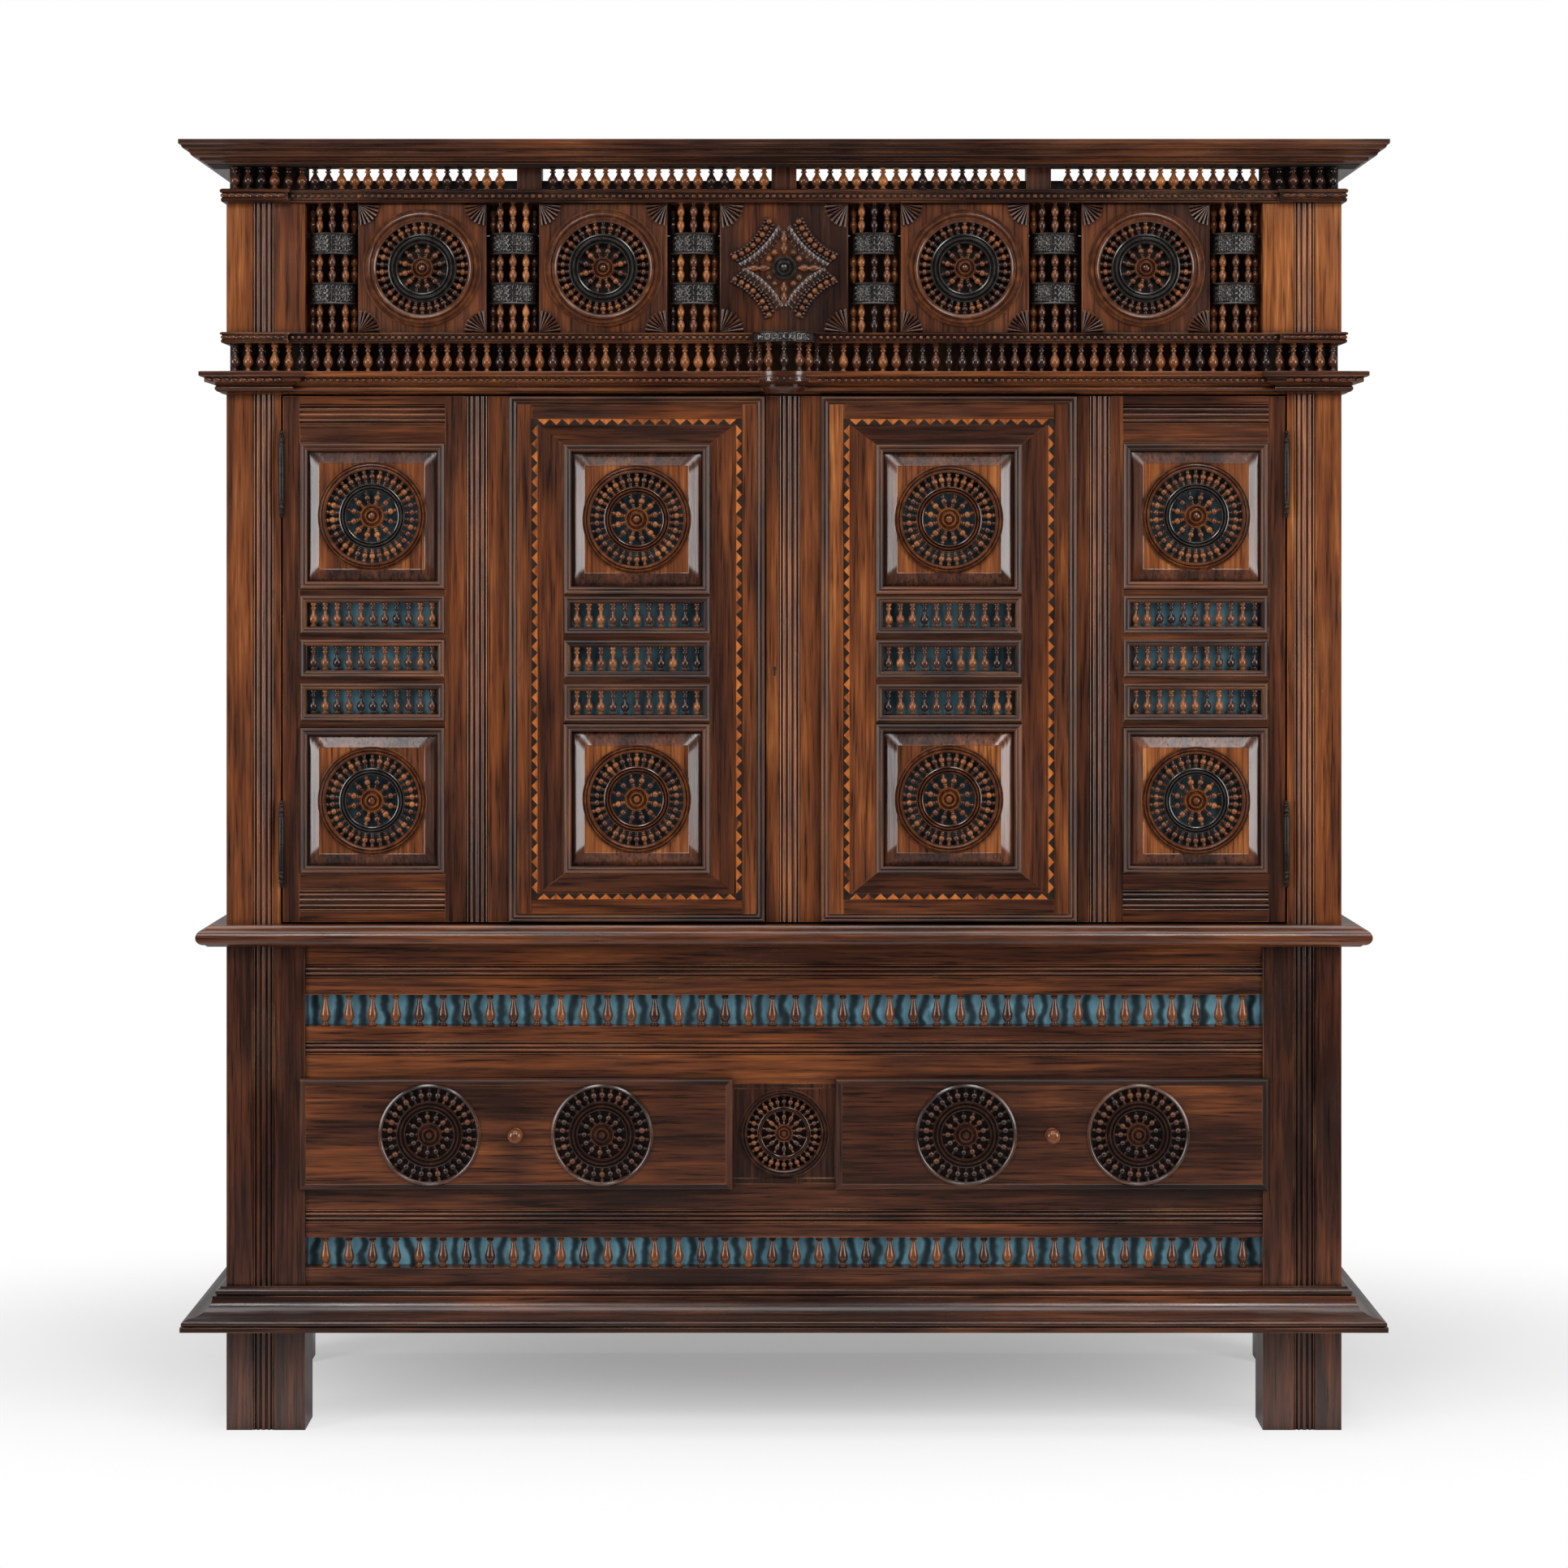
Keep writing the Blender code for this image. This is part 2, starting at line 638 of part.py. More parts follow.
def centre_panel():
    """The block between the drawers, with its small wheel."""
    size = (DIVIDER_WIDTH, DRAWER_OPENING)
    wheel_panel("chest_centre_panel", (0.0, DRAWER_LEVEL), size, RAIL_BACK, RAIL_THICKNESS,
                (CENTRE_WHEEL_RADIUS, WHEEL_RIM), raised=False)


def drawer_bearer():
    """The dust board that both drawers run on, with a guide between them."""
    span = POST_INNER - GAP
    y = (RAIL_BACK + GAP, BACK_FACE - GAP)
    bearer = board("drawer_bearer", (-span, span), y, (DRAWER_BASE - BEARER_THICKNESS, DRAWER_BASE), WOOD)
    guide = bmesh.new()
    half = DRAWER_INNER - DRAWER_CLEARANCE
    z = (DRAWER_BASE - PROUD, DRAWER_BASE + GUIDE_HEIGHT)
    add_box(guide, (-half, half), (y[0] + PROUD, y[1] - PROUD), z)
    join(bearer, guide, "drawer_guide")


def chest_curtains():
    """Cloth behind the two baluster galleries."""
    reach = POST_INNER - GAP
    y = RAIL_BACK + GAP + CLOTH_FOLD / 2 + CLOTH_THICKNESS / 2
    levels = {"lower": (BOTTOM_RAIL_TOP, LOWER_RAIL_BASE), "upper": (MIDDLE_RAIL_TOP, TOP_RAIL_BASE)}
    for word, (low, high) in levels.items():
        z = (low - CLOTH_OVERLAP, high + CLOTH_OVERLAP)
        curtain(f"chest_{word}_curtain", (-reach, reach), y, z, CHEST_FOLD_PITCH)


# The drawers

def drawer(word, side):
    """One lipped drawer: a front with two wheels, a box and a knob."""
    carrier = pivot(f"{word}_drawer_slide", (side * DRAWER_CENTRE, RAIL_FACE, DRAWER_LEVEL))
    drawer_front(word, side, carrier)
    inner, outer = DRAWER_INNER + DRAWER_CLEARANCE, POST_INNER - DRAWER_CLEARANCE
    low = DRAWER_BASE + GAP
    y = RAIL_FACE + DRAWER_PLUG + GAP
    x = (side * inner, side * outer)
    z = (low, low + DRAWER_WALL_HEIGHT)
    box = board(f"{word}_drawer_box", x, (y, y + DRAWER_LENGTH), z, PALE_WOOD, carrier)
    hollow = bmesh.new()
    x = (side * (inner + DRAWER_WALL), side * (outer - DRAWER_WALL))
    z = (low + DRAWER_WALL, low + DRAWER_WALL_HEIGHT + PROUD)
    add_box(hollow, x, (y - PROUD, y + DRAWER_LENGTH - DRAWER_WALL), z)
    cut(box, hollow, f"{word}_drawer_hollow")
    knob(word, side, carrier)


def drawer_front(word, side, carrier):
    """A lipped front, with two spindle wheels sunk into its face."""
    inner, outer = DRAWER_INNER, POST_INNER
    face = RAIL_FACE - GAP - DRAWER_LIP_THICKNESS
    bm = bmesh.new()
    x = (side * (inner - DRAWER_LIP), side * (outer + DRAWER_LIP))
    lip = FRONT - GAP
    add_box(bm, x, (face, lip), (DRAWER_BASE - DRAWER_LIP, DRAWER_TOP + DRAWER_LIP))
    front = make(f"{word}_drawer_front", bm, WOOD, carrier)
    plug = bmesh.new()
    clear = DRAWER_CLEARANCE
    x = (side * (inner + clear), side * (outer - clear))
    add_box(plug, x, (face + PROUD, RAIL_FACE + DRAWER_PLUG), (DRAWER_BASE + clear, DRAWER_TOP - clear))
    join(front, plug, f"{word}_drawer_plug")
    rings = bmesh.new()
    for offset in (-DRAWER_WHEEL_SPACING, DRAWER_WHEEL_SPACING):
        foot = (side * DRAWER_CENTRE + offset, face + DRAWER_WHEEL_DEPTH, DRAWER_LEVEL)
        for low, high in ((WHEEL_HUB, WHEEL_RING_INNER), (WHEEL_RING_OUTER, WHEEL_RADIUS)):
            top = DRAWER_WHEEL_DEPTH + PROUD
            loop = [(low, 0.0), (high, 0.0), (high, top), (low, top)]
            add_turning(rings, loop, WHEEL_SIDES, foot, "-Y", closed=True)
    cut(front, rings, f"{word}_drawer_wheels")
    join(front, drawer_rims(side, face), f"{word}_drawer_rims")


def drawer_rims(side, face):
    """A raised bead round each wheel of a drawer front."""
    bm = bmesh.new()
    inner, outer = WHEEL_RADIUS, WHEEL_RADIUS + DRAWER_WHEEL_RIM
    for offset in (-DRAWER_WHEEL_SPACING, DRAWER_WHEEL_SPACING):
        foot = (side * DRAWER_CENTRE + offset, face + PROUD, DRAWER_LEVEL)
        top = PROUD + DRAWER_RIM_RISE
        loop = [(inner + GAP, 0.0), (outer, 0.0), (outer, top - GAP), (inner + GAP, top)]
        add_turning(bm, loop, WHEEL_SIDES, foot, "-Y", closed=True)
    return bm


def knob(word, side, carrier):
    """A small turned knob with a foot ring."""
    foot = (side * DRAWER_CENTRE, RAIL_FACE - DRAWER_LIP_THICKNESS - 2 * GAP, DRAWER_LEVEL)
    shape = ((0.62, 0.0), (0.62, 0.12), (0.38, 0.30), (0.55, 0.42), (1.0, 0.62), (0.92, 0.86), (0.40, 1.0))
    bm = bmesh.new()
    add_turning(bm, [(KNOB_RADIUS * a, KNOB_LENGTH * b) for a, b in shape], 12, foot, "-Y")
    make(f"{word}_drawer_knob", bm, WOOD, carrier)


# The cabinet

def cabinet_frame():
    """Posts, sides, back, shelf and roof of the upper stage."""
    for word, side in SIDES.items():
        cabinet_post(word, side)
        top = FRIEZE_TOP - GAP
        panel = side_panel(f"cabinet_side_{word}", side, WAIST_TOP, top, WAIST_TOP, top)
        cleat = bmesh.new()
        x = (side * (SIDE_INNER + PROUD), side * (SIDE_INNER - CLEAT))
        z = (SHELF_TOP - SHELF_THICKNESS - GAP - CLEAT, SHELF_TOP - SHELF_THICKNESS - GAP)
        add_box(cleat, x, (POST_BACK + CLEAT, BACK_FACE - BACK_LEG_DEPTH - CLEAT), z)
        join(panel, cleat, f"cabinet_cleat_{word}")
    back_boards()
    y = (POST_BACK + SHELF_SETBACK, BACK_FACE - GAP - BACK_LEG_DEPTH - GAP)
    x = SIDE_INNER - GAP
    board("inner_shelf", (-x, x), y, (SHELF_TOP - SHELF_THICKNESS, SHELF_TOP), WOOD)
    x = HALF_WIDTH - ROOF_SEAT - GAP
    z = (FRIEZE_TOP, FRIEZE_TOP + ROOF_THICKNESS)
    board("roof_board", (-x, x), (HEADER_BACK + GAP, BACK_FACE - GAP), z, WOOD)


def cabinet_post(word, side):
    """A post rebated for its door and set back behind the lower gallery."""
    obj = post(f"cabinet_post_{word}", side, WAIST_TOP, FRIEZE_TOP - GAP)
    edge, stop, inner = REBATE_EDGE, REBATE_EDGE - DOOR_STOP, POST_INNER - PROUD
    rebate_back, back = DOOR_BACK + REBATE_CLEARANCE, POST_BACK + PROUD
    plan = [(edge, FRONT - PROUD), (edge, rebate_back), (stop, rebate_back)]
    plan += [(stop, back), (inner, back), (inner, FRONT - PROUD)]
    low = WAIST_TOP - PROUD
    rebate = bmesh.new()
    add_extrusion(rebate, [(side * x, y, low) for x, y in plan], (0, 0, LOWER_CORNICE_BASE - low))
    cut(obj, rebate, f"door_rebate_{word}")
    notch = bmesh.new()
    x = (side * inner, side * (HALF_WIDTH + PROUD))
    add_box(notch, x, (FRONT - PROUD, FRONT + HEADER_DEPTH), (LOWER_CORNICE_BASE - GAP, FRIEZE_BASE + GAP))
    cut(obj, notch, f"gallery_notch_{word}")


def back_boards():
    """Upright planks with a groove at each joint, as one nailed set."""
    x = HALF_WIDTH - GAP
    outline = [(-x, BACK_FACE), (x, BACK_FACE), (x, BACK)]
    step = 2 * x / BACK_PLANKS
    for i in reversed(range(1, BACK_PLANKS)):
        seam = -x + step * i
        outline += [(seam + PLANK_GROOVE, BACK), (seam, BACK - PLANK_GROOVE), (seam - PLANK_GROOVE, BACK)]
    outline.append((-x, BACK))
    bm = bmesh.new()
    low = FOOT_HEIGHT
    add_extrusion(bm, [(a, b, low) for a, b in outline], (0, 0, FRIEZE_TOP - GAP - low))
    make("back_boards", bm, PALE_WOOD)


def half_round(radius, steps=10):
    """Plan points of a half circle that bulges forward."""
    turns = [math.pi * i / steps for i in range(steps + 1)]
    return [(radius * math.cos(turn), -radius * math.sin(turn)) for turn in turns]


def lower_cornice():
    """The moulding over the doors, with the corbel of the centre bracket."""
    reach, height = LOWER_CORNICE_OVERHANG, LOWER_CORNICE_HEIGHT
    profile = [
        (reach * 0.12, 0.0), (reach * 0.30, height * 0.14), (reach * 0.36, height * 0.36),
        (reach * 0.78, height * 0.50), (reach * 0.80, height * 0.70), (reach, height * 0.74), (reach, height),
    ]
    bm = bmesh.new()
    add_moulding(bm, broken_path(), broken_inner(HALF_WIDTH + GAP), profile, LOWER_CORNICE_BASE)
    cornice = make("lower_cornice", bm, WOOD)
    corbel = bmesh.new()
    rings = []
    for share, level in ((0.62, 0.02), (0.72, 0.35), (0.98, 0.5), (1.0, 0.99)):
        z = LOWER_CORNICE_BASE + height * level
        rings.append([(x, FRONT - PROUD + y, z) for x, y in half_round(BRACKET_RADIUS * share)])
    add_rings(corbel, rings)
    join(cornice, corbel, "bracket_corbel")


def frieze_lower_rail():
    """The lower bead rail with the gallery that hangs from it and the clusters that stand on it."""
    reach, height = BEAD_OVERHANG, LOWER_BEAD_HEIGHT
    profile = [(reach * 0.5, 0.0), (reach, height * 0.2), (reach, height * 0.85), (reach * 0.4, height)]
    bm = bmesh.new()
    add_moulding(bm, broken_path(), broken_inner(HALF_WIDTH + GAP), profile, LOWER_BEAD_BASE)
    rail = make("frieze_lower_rail", bm, WOOD)
    band = bmesh.new()
    low, high = LOWER_BEAD_BASE + PROUD / 2, FRIEZE_BASE - PROUD / 2
    add_extrusion(band, [(x, FRONT + y, low) for x, y in half_round(BRACKET_RADIUS)], (0, 0, high - low))
    join(rail, band, "bracket_band")
    join(rail, hanging_gallery(), "hanging_gallery")
    join(rail, cluster_spindles(), "frieze_clusters")
    join(rail, cluster_bands(), "frieze_cluster_bands")


def gallery_places():
    """(x, y) of each spindle in a gallery, with the corner ones standing proud."""
    edge = HALF_WIDTH - GALLERY_RADIUS / 2
    count = round(2 * edge / GALLERY_PITCH)
    corner = HALF_WIDTH + BEAD_OVERHANG - CORNER_WIDTH
    main = FRONT + GALLERY_RADIUS
    return [(x, main - CORNER_PROUD if abs(x) > corner else main) for x in spaced(-edge, edge, count)]


def hanging_gallery():
    """Spindles under the lower bead rail, carried round the centre bracket."""
    bm = bmesh.new()
    low, high = LOWER_CORNICE_TOP + GAP, LOWER_BEAD_BASE + SPINDLE_SEAT
    keep_clear = BRACKET_RADIUS + GALLERY_RADIUS
    places = [(x, y) for x, y in gallery_places() if abs(x) > keep_clear]
    ring = BRACKET_RADIUS - GALLERY_RADIUS - PROUD
    for turn in spaced(0.0, math.pi, 5):
        places.append((ring * math.cos(turn), FRONT - PROUD - ring * math.sin(turn)))
    for x, y in places:
        add_spindle(bm, x, y, low, high, GALLERY_RADIUS, 3)
    return bm


def cluster_centres():
    """X of the six bays between the frieze panels."""
    return [FRIEZE_PITCH * (i - 2.5) for i in range(6)]


def cluster_spindles():
    """Five tall spindles on a half round in each bay."""
    bm = bmesh.new()
    radius = GALLERY_RADIUS * 0.9
    ring = CLUSTER_RADIUS - radius
    axis = FRONT + FRIEZE_PANEL_SETBACK + ring
    for centre in cluster_centres():
        for i in range(CLUSTER_SPINDLES):
            turn = math.radians(CLUSTER_SPREAD * (2 * i / (CLUSTER_SPINDLES - 1) - 1))
            x, y = centre + ring * math.sin(turn), axis - ring * math.cos(turn)
            add_spindle(bm, x, min(y, HEADER_BACK - radius), FRIEZE_BASE - SPINDLE_SEAT, FRIEZE_TOP - GAP,
                        radius, 3, CLUSTER_FORM)
    return bm


def cluster_bands():
    """Two curved bands that bind each cluster."""
    bm = bmesh.new()
    outer, inner = CLUSTER_RADIUS, CLUSTER_RADIUS - 2 * GALLERY_RADIUS
    axis = FRONT + FRIEZE_PANEL_SETBACK + CLUSTER_RADIUS - PROUD
    plan = half_round(outer, 4) + list(reversed(half_round(inner, 4)))
    for centre in cluster_centres():
        for level in (-CLUSTER_BAND_SPACING / 2, CLUSTER_BAND_SPACING / 2):
            low = FRIEZE_CENTRE + level - CLUSTER_BAND / 2
            add_extrusion(bm, [(centre + x, axis + y, low) for x, y in plan], (0, 0, CLUSTER_BAND))
    return bm


def corner_fans(face):
    """Carved quarter shells (across, up) for the corners of a frieze panel, standing on its face."""
    bm = bmesh.new()
    half_width, half_height = FRIEZE_PANEL / 2 - GAP - PROUD, FRIEZE_HEIGHT / 2 - GAP - PROUD
    steps = 2 * FAN_FLUTES
    for across in (-1, 1):
        for up in (-1, 1):
            outline = [(0.0, 0.0)]
            for i in range(steps + 1):
                reach = FAN_RADIUS if i % 2 else FAN_RADIUS - FAN_SCALLOP
                turn = math.pi / 2 * i / steps
                outline.append((reach * math.cos(turn), reach * math.sin(turn)))
            points = [(across * (half_width - a), face + PROUD, up * (half_height - b)) for a, b in outline]
            add_extrusion(bm, points, (0, -PROUD - FAN_RISE, 0))
    return bm


def star_bars(face):
    """Four carved bars set in a square round a boss."""
    bm = bmesh.new()
    depth = PROUD + STAR_RISE
    reach = STAR_REACH
    middle = reach / 2
    length = math.hypot(reach, reach) - STAR_NOTCH
    for i in range(4):
        turn = Matrix.Rotation(math.pi / 2 * i, 4, "Y")
        place = turn @ Matrix.Translation((middle, face + PROUD - depth / 2, middle))
        place = place @ Matrix.Rotation(math.pi / 4, 4, "Y") @ Matrix.Diagonal((length, depth, STAR_BAR, 1))
        bmesh.ops.create_cube(bm, size=1, matrix=place)
    add_turning(bm, [(STAR_BOSS, 0.0), (STAR_BOSS, depth), (STAR_BOSS / 2, depth + FAN_RISE)], WHEEL_SIDES,
                (0.0, face + PROUD, 0.0), "-Y")
    return bm


def frieze_panels():
    """Four wheel panels and the star panel between them, all with fans in their corners."""
    face = FRONT + FRIEZE_PANEL_SETBACK
    back = face + PANEL_THICKNESS
    size = (FRIEZE_PANEL, FRIEZE_HEIGHT)
    places = {f"frieze_wheel_panel_{i}": FRIEZE_PITCH * step for i, step in enumerate((-2, -1, 1, 2), 1)}
    panels = {}
    for name, x in places.items():
        panel = wheel_panel(name, (x, FRIEZE_CENTRE), size, back, PANEL_THICKNESS, (WHEEL_RADIUS, FRIEZE_RIM),
                            raised=False)
        panels[name] = (panel, x)
    half, low = FRIEZE_PANEL / 2 - GAP, FRIEZE_BASE + GAP
    star = board("frieze_star_panel", (-half, half), (face, back), (low, FRIEZE_TOP - GAP), WOOD)
    panels["frieze_star_panel"] = (star, 0.0)
    bars = star_bars(face)
    bmesh.ops.translate(bars, verts=bars.verts, vec=(0.0, 0.0, FRIEZE_CENTRE))
    join(star, bars, "star_bars")
    for name, (panel, x) in panels.items():
        fans = corner_fans(face)
        bmesh.ops.translate(fans, verts=fans.verts, vec=(x, 0.0, FRIEZE_CENTRE))
        join(panel, fans, name + "_fans")


def frieze_upper_rail():
    """The upper bead rail with the open gallery, the ledge behind it and the blocks under the cornice."""
    reach, height = BEAD_OVERHANG, UPPER_BEAD_HEIGHT
    profile = [(reach * 0.4, 0.0), (reach, height * 0.15), (reach, height * 0.8), (reach * 0.5, height)]
    side_x = HALF_WIDTH - ROOF_SEAT
    bm = bmesh.new()
    add_moulding(bm, broken_path(), broken_inner(side_x), profile, FRIEZE_TOP)
    rail = make("frieze_upper_rail", bm, WOOD)
    low, high = UPPER_BEAD_TOP - SPINDLE_SEAT, CORNICE_BASE - GAP
    spindles = bmesh.new()
    blocks = [-BLOCK_SPACING, 0.0, BLOCK_SPACING]
    clear = BLOCK_WIDTH / 2 + GALLERY_RADIUS
    for x, y in gallery_places():
        if all(abs(x - place) > clear for place in blocks):
            add_spindle(spindles, x, y, low, high, GALLERY_RADIUS, 3)
    join(rail, spindles, "top_gallery")
    solids = bmesh.new()
    for place in blocks:
        x = (place - BLOCK_WIDTH / 2, place + BLOCK_WIDTH / 2)
        add_box(solids, x, (FRONT + PROUD, HEADER_BACK - PROUD), (low, high))
    corner = HALF_WIDTH + BEAD_OVERHANG - CORNER_WIDTH
    for side in SIDES.values():
        x = (side * corner, side * (HALF_WIDTH - PROUD))
        add_box(solids, x, (HEADER_BACK - RAIL_THICKNESS / 2, HEADER_BACK - PROUD), (low, high))
        x = (side * (side_x + PROUD), side * (HALF_WIDTH - PROUD))
        add_box(solids, x, (BACK - BACK_LEG_DEPTH, BACK - PROUD), (low, high))
    join(rail, solids, "gallery_blocks")
    ledge = bmesh.new()
    x = (-corner - PROUD, corner + PROUD)
    y = (HEADER_BACK - GALLERY_LEDGE_DEPTH, HEADER_BACK - 2 * PROUD)
    add_box(ledge, x, y, (low, UPPER_BEAD_TOP + GALLERY_LEDGE_HEIGHT))
    join(rail, ledge, "gallery_ledge")


def crown_cornice():
    """The splayed crown moulding, open in the middle."""
    reach, height = CORNICE_OVERHANG, CORNICE_HEIGHT
    profile = [
        (reach * 0.44, 0.0), (reach * 0.50, height * 0.12), (reach * 0.56, height * 0.14),
        (reach * 0.64, height * 0.36), (reach * 0.74, height * 0.44), (reach * 0.86, height * 0.66),
        (reach * 0.94, height * 0.70), (reach, height * 0.78), (reach, height),
    ]
    inner_x = HALF_WIDTH - HEADER_DEPTH
    inner = [(-inner_x, BACK), (-inner_x, HEADER_BACK), (inner_x, HEADER_BACK), (inner_x, BACK)]
    bm = bmesh.new()
    add_moulding(bm, plain_path(), inner, profile, CORNICE_BASE)
    make("cornice", bm, WOOD)


# The doors

def window_levels(low, high):
    """Bottom and top of each spindle window, spread about the middle of a zone."""
    pitch = WINDOW_HEIGHT + WINDOW_RAIL
    middle = (low + high) / 2
    levels = []
    for row in range(WINDOW_ROWS):
        base = middle + (row - (WINDOW_ROWS - 1) / 2) * pitch - WINDOW_HEIGHT / 2
        levels += [base, base + WINDOW_HEIGHT]
    return levels


def column_levels(bottom_rail, top_rail, panel):
    """Every level at which a door column changes from rail to panel or window."""
    low, high = DOOR_BASE + bottom_rail, DOOR_TOP - top_rail
    windows = window_levels(low + panel, high - panel)
    return [DOOR_BASE, low, low + panel] + windows + [high - panel, high, DOOR_TOP]


def panel_centres(levels):
    """Mid height of the lower and upper panels of a column."""
    return {"lower": (levels[1] + levels[2]) / 2, "upper": (levels[-3] + levels[-2]) / 2}


def add_window_spindles(bm, x, levels, y):
    """Fill each window of a column with spindles let into the rails above and below."""
    windows = levels[3:-3]
    for low, high in zip(windows[0::2], windows[1::2]):
        for place in spaced(x[0], x[1], WINDOW_SPINDLES):
            add_spindle(bm, place, y, low - SPINDLE_SEAT, high + SPINDLE_SEAT, WINDOW_SPINDLE_RADIUS, 3)


def door(word, side):
    """One door: an outer column with wheel panels and windows, and a marquetry column."""
    carrier = pivot(f"{word}_door_axis", (side * HINGE_AXIS, HINGE_AXIS_Y, DOOR_BASE))
    meeting = side * MEETING_OFFSET + MEETING_GAP / 2
    leading, middle = (LEADING_STILE, RIGHT_MID_STILE) if word == "right" else (0.0, LEFT_MID_STILE)
    inlay_inner, inlay_outer = meeting + leading, PANEL_INNER - middle
    inlay_centre = (inlay_inner + inlay_outer) / 2
    opening = (inlay_centre - INLAY_PANEL_WIDTH / 2, inlay_centre + INLAY_PANEL_WIDTH / 2)
    levels = column_levels(DOOR_BOTTOM_RAIL, DOOR_TOP_RAIL, PANEL_HEIGHT)
    door_frame(word, side, carrier, meeting, inlay_inner, inlay_outer, levels)
    inlay_levels = column_levels(MARQUETRY_RAIL, MARQUETRY_RAIL, MARQUETRY_PANEL_HEIGHT)
    marquetry_frame(word, side, carrier, (inlay_inner, *opening, inlay_outer), inlay_levels)
    columns = {
        "outer": ((PANEL_INNER + PANEL_OUTER) / 2, (PANEL_WIDTH, PANEL_HEIGHT), levels,
                  FRONT + PANEL_THICKNESS),
        "inner": (inlay_centre, (INLAY_PANEL_WIDTH, MARQUETRY_PANEL_HEIGHT), inlay_levels,
                  FRONT - MARQUETRY_PROUD + PANEL_THICKNESS + PANEL_RISE),
    }
    for column, (across, size, steps, back) in columns.items():
        for row, level in panel_centres(steps).items():
            name = f"{word}_door_{column}_{row}_panel"
            wheel_panel(name, (side * across, level), size, back, PANEL_THICKNESS, (WHEEL_RADIUS, WHEEL_RIM),
                        carrier)
    door_curtain(word, side, carrier, opening[0], levels)
    hinges(word, side, carrier)
    return carrier


def door_frame(word, side, carrier, meeting, inlay_inner, inlay_outer, levels):
    """Stiles and rails of the outer column, with the thin frame that backs the marquetry column."""
    window = (PANEL_INNER + WINDOW_LIP, PANEL_OUTER - WINDOW_LIP)
    xs = [side * x for x in (inlay_outer + GAP, PANEL_INNER, *window, PANEL_OUTER, HINGE_EDGE)]
    top = len(levels) - 2

    def is_open(i, j):
        if j in (1, top - 1):
            return 1 <= i <= 3
        return i == 2 and 3 <= j <= top - 3 and j % 2 == 1

    bm = bmesh.new()
    add_plate(bm, xs, levels, (FRONT, DOOR_BACK), is_open)
    frame = make(f"{word}_door_frame", bm, WOOD, carrier)
    backing = bmesh.new()
    seat = FRONT - MARQUETRY_PROUD + MARQUETRY_THICKNESS + GAP
    inset = (inlay_inner + MARQUETRY_SEAT, inlay_outer - MARQUETRY_SEAT)
    xs = [side * x for x in (meeting, *inset, inlay_outer + PROUD)]
    zs = (DOOR_BASE + GAP, DOOR_BASE + MARQUETRY_SEAT, DOOR_TOP - MARQUETRY_SEAT, DOOR_TOP - GAP)
    add_plate(backing, xs, zs, (seat, DOOR_BACK - GAP), lambda i, j: i == 1 and j == 1)
    join(frame, backing, f"{word}_door_backing")
    if word == "right":
        leading = bmesh.new()
        x = (side * meeting, side * (inlay_inner - GAP))
        add_box(leading, x, (FRONT, DOOR_BACK), (DOOR_BASE, DOOR_TOP))
        join(frame, leading, f"{word}_leading_stile")
    spindles = bmesh.new()
    y = FRONT + WINDOW_SPINDLE_RADIUS + PROUD
    add_window_spindles(spindles, (side * window[0], side * window[1]), levels, y)
    join(frame, spindles, f"{word}_door_spindles")
    cut(frame, door_reeds(word, side, meeting, inlay_inner, inlay_outer, levels), f"{word}_door_reeds")
    if word == "right":
        cut(frame, keyhole(side * meeting), "keyhole")


def door_reeds(word, side, meeting, inlay_inner, inlay_outer, levels):
    """Reeds down the stiles and along the top and bottom rails of a door."""
    bm = bmesh.new()
    band = REED_COUNT * REED_WIDTH
    starts = [(inlay_outer + PANEL_INNER - band) / 2]
    if word == "right":
        starts.append((meeting + inlay_inner - band) / 2)
    height = DOOR_TOP - DOOR_BASE + 2 * PROUD
    for start in starts:
        add_reed_cutter(bm, start, FRONT, lambda a, b: (side * a, b, DOOR_BASE - PROUD), (0, 0, height))
    for low, high in ((levels[0], levels[1]), (levels[-2], levels[-1])):
        start = (low + high - band) / 2
        add_reed_cutter(bm, start, FRONT, lambda a, b: (side * PANEL_INNER, b, a), (side * PANEL_WIDTH, 0, 0))
    return bm


def keyhole(edge):
    """A round hole with a slot below it, through the leading stile."""
    x = edge + KEYHOLE_EDGE
    depth = DOOR_THICKNESS + 2 * PROUD
    round_part = [(KEYHOLE_RADIUS * math.cos(t), KEYHOLE_RADIUS * math.sin(t))
                  for t in (math.radians(a) for a in range(-60, 241, 50))]
    slot = KEYHOLE_RADIUS / 2
    outline = round_part + [(-slot, -KEYHOLE_SLOT), (slot, -KEYHOLE_SLOT)]
    bm = bmesh.new()
    add_extrusion(bm, [(x + a, FRONT - PROUD, LOCK_LEVEL + b) for a, b in outline], (0, depth, 0))
    return bm


def marquetry_frame(word, side, carrier, places, levels):
    """The raised frame round the inner panels and windows."""
    window = places[1:3]
    xs = [side * x for x in places]
    top = len(levels) - 2
    bm = bmesh.new()
    face = FRONT - MARQUETRY_PROUD
    back = face + MARQUETRY_THICKNESS
    add_plate(bm, xs, levels, (face, back), lambda i, j: i == 1 and j % 2 == 1 and j <= top)
    frame = make(f"{word}_marquetry_frame", bm, WOOD, carrier)
    spindles = bmesh.new()
    y = face + WINDOW_SPINDLE_RADIUS + PROUD
    add_window_spindles(spindles, (side * window[0], side * window[1]), levels, y)
    join(frame, spindles, f"{word}_marquetry_spindles")


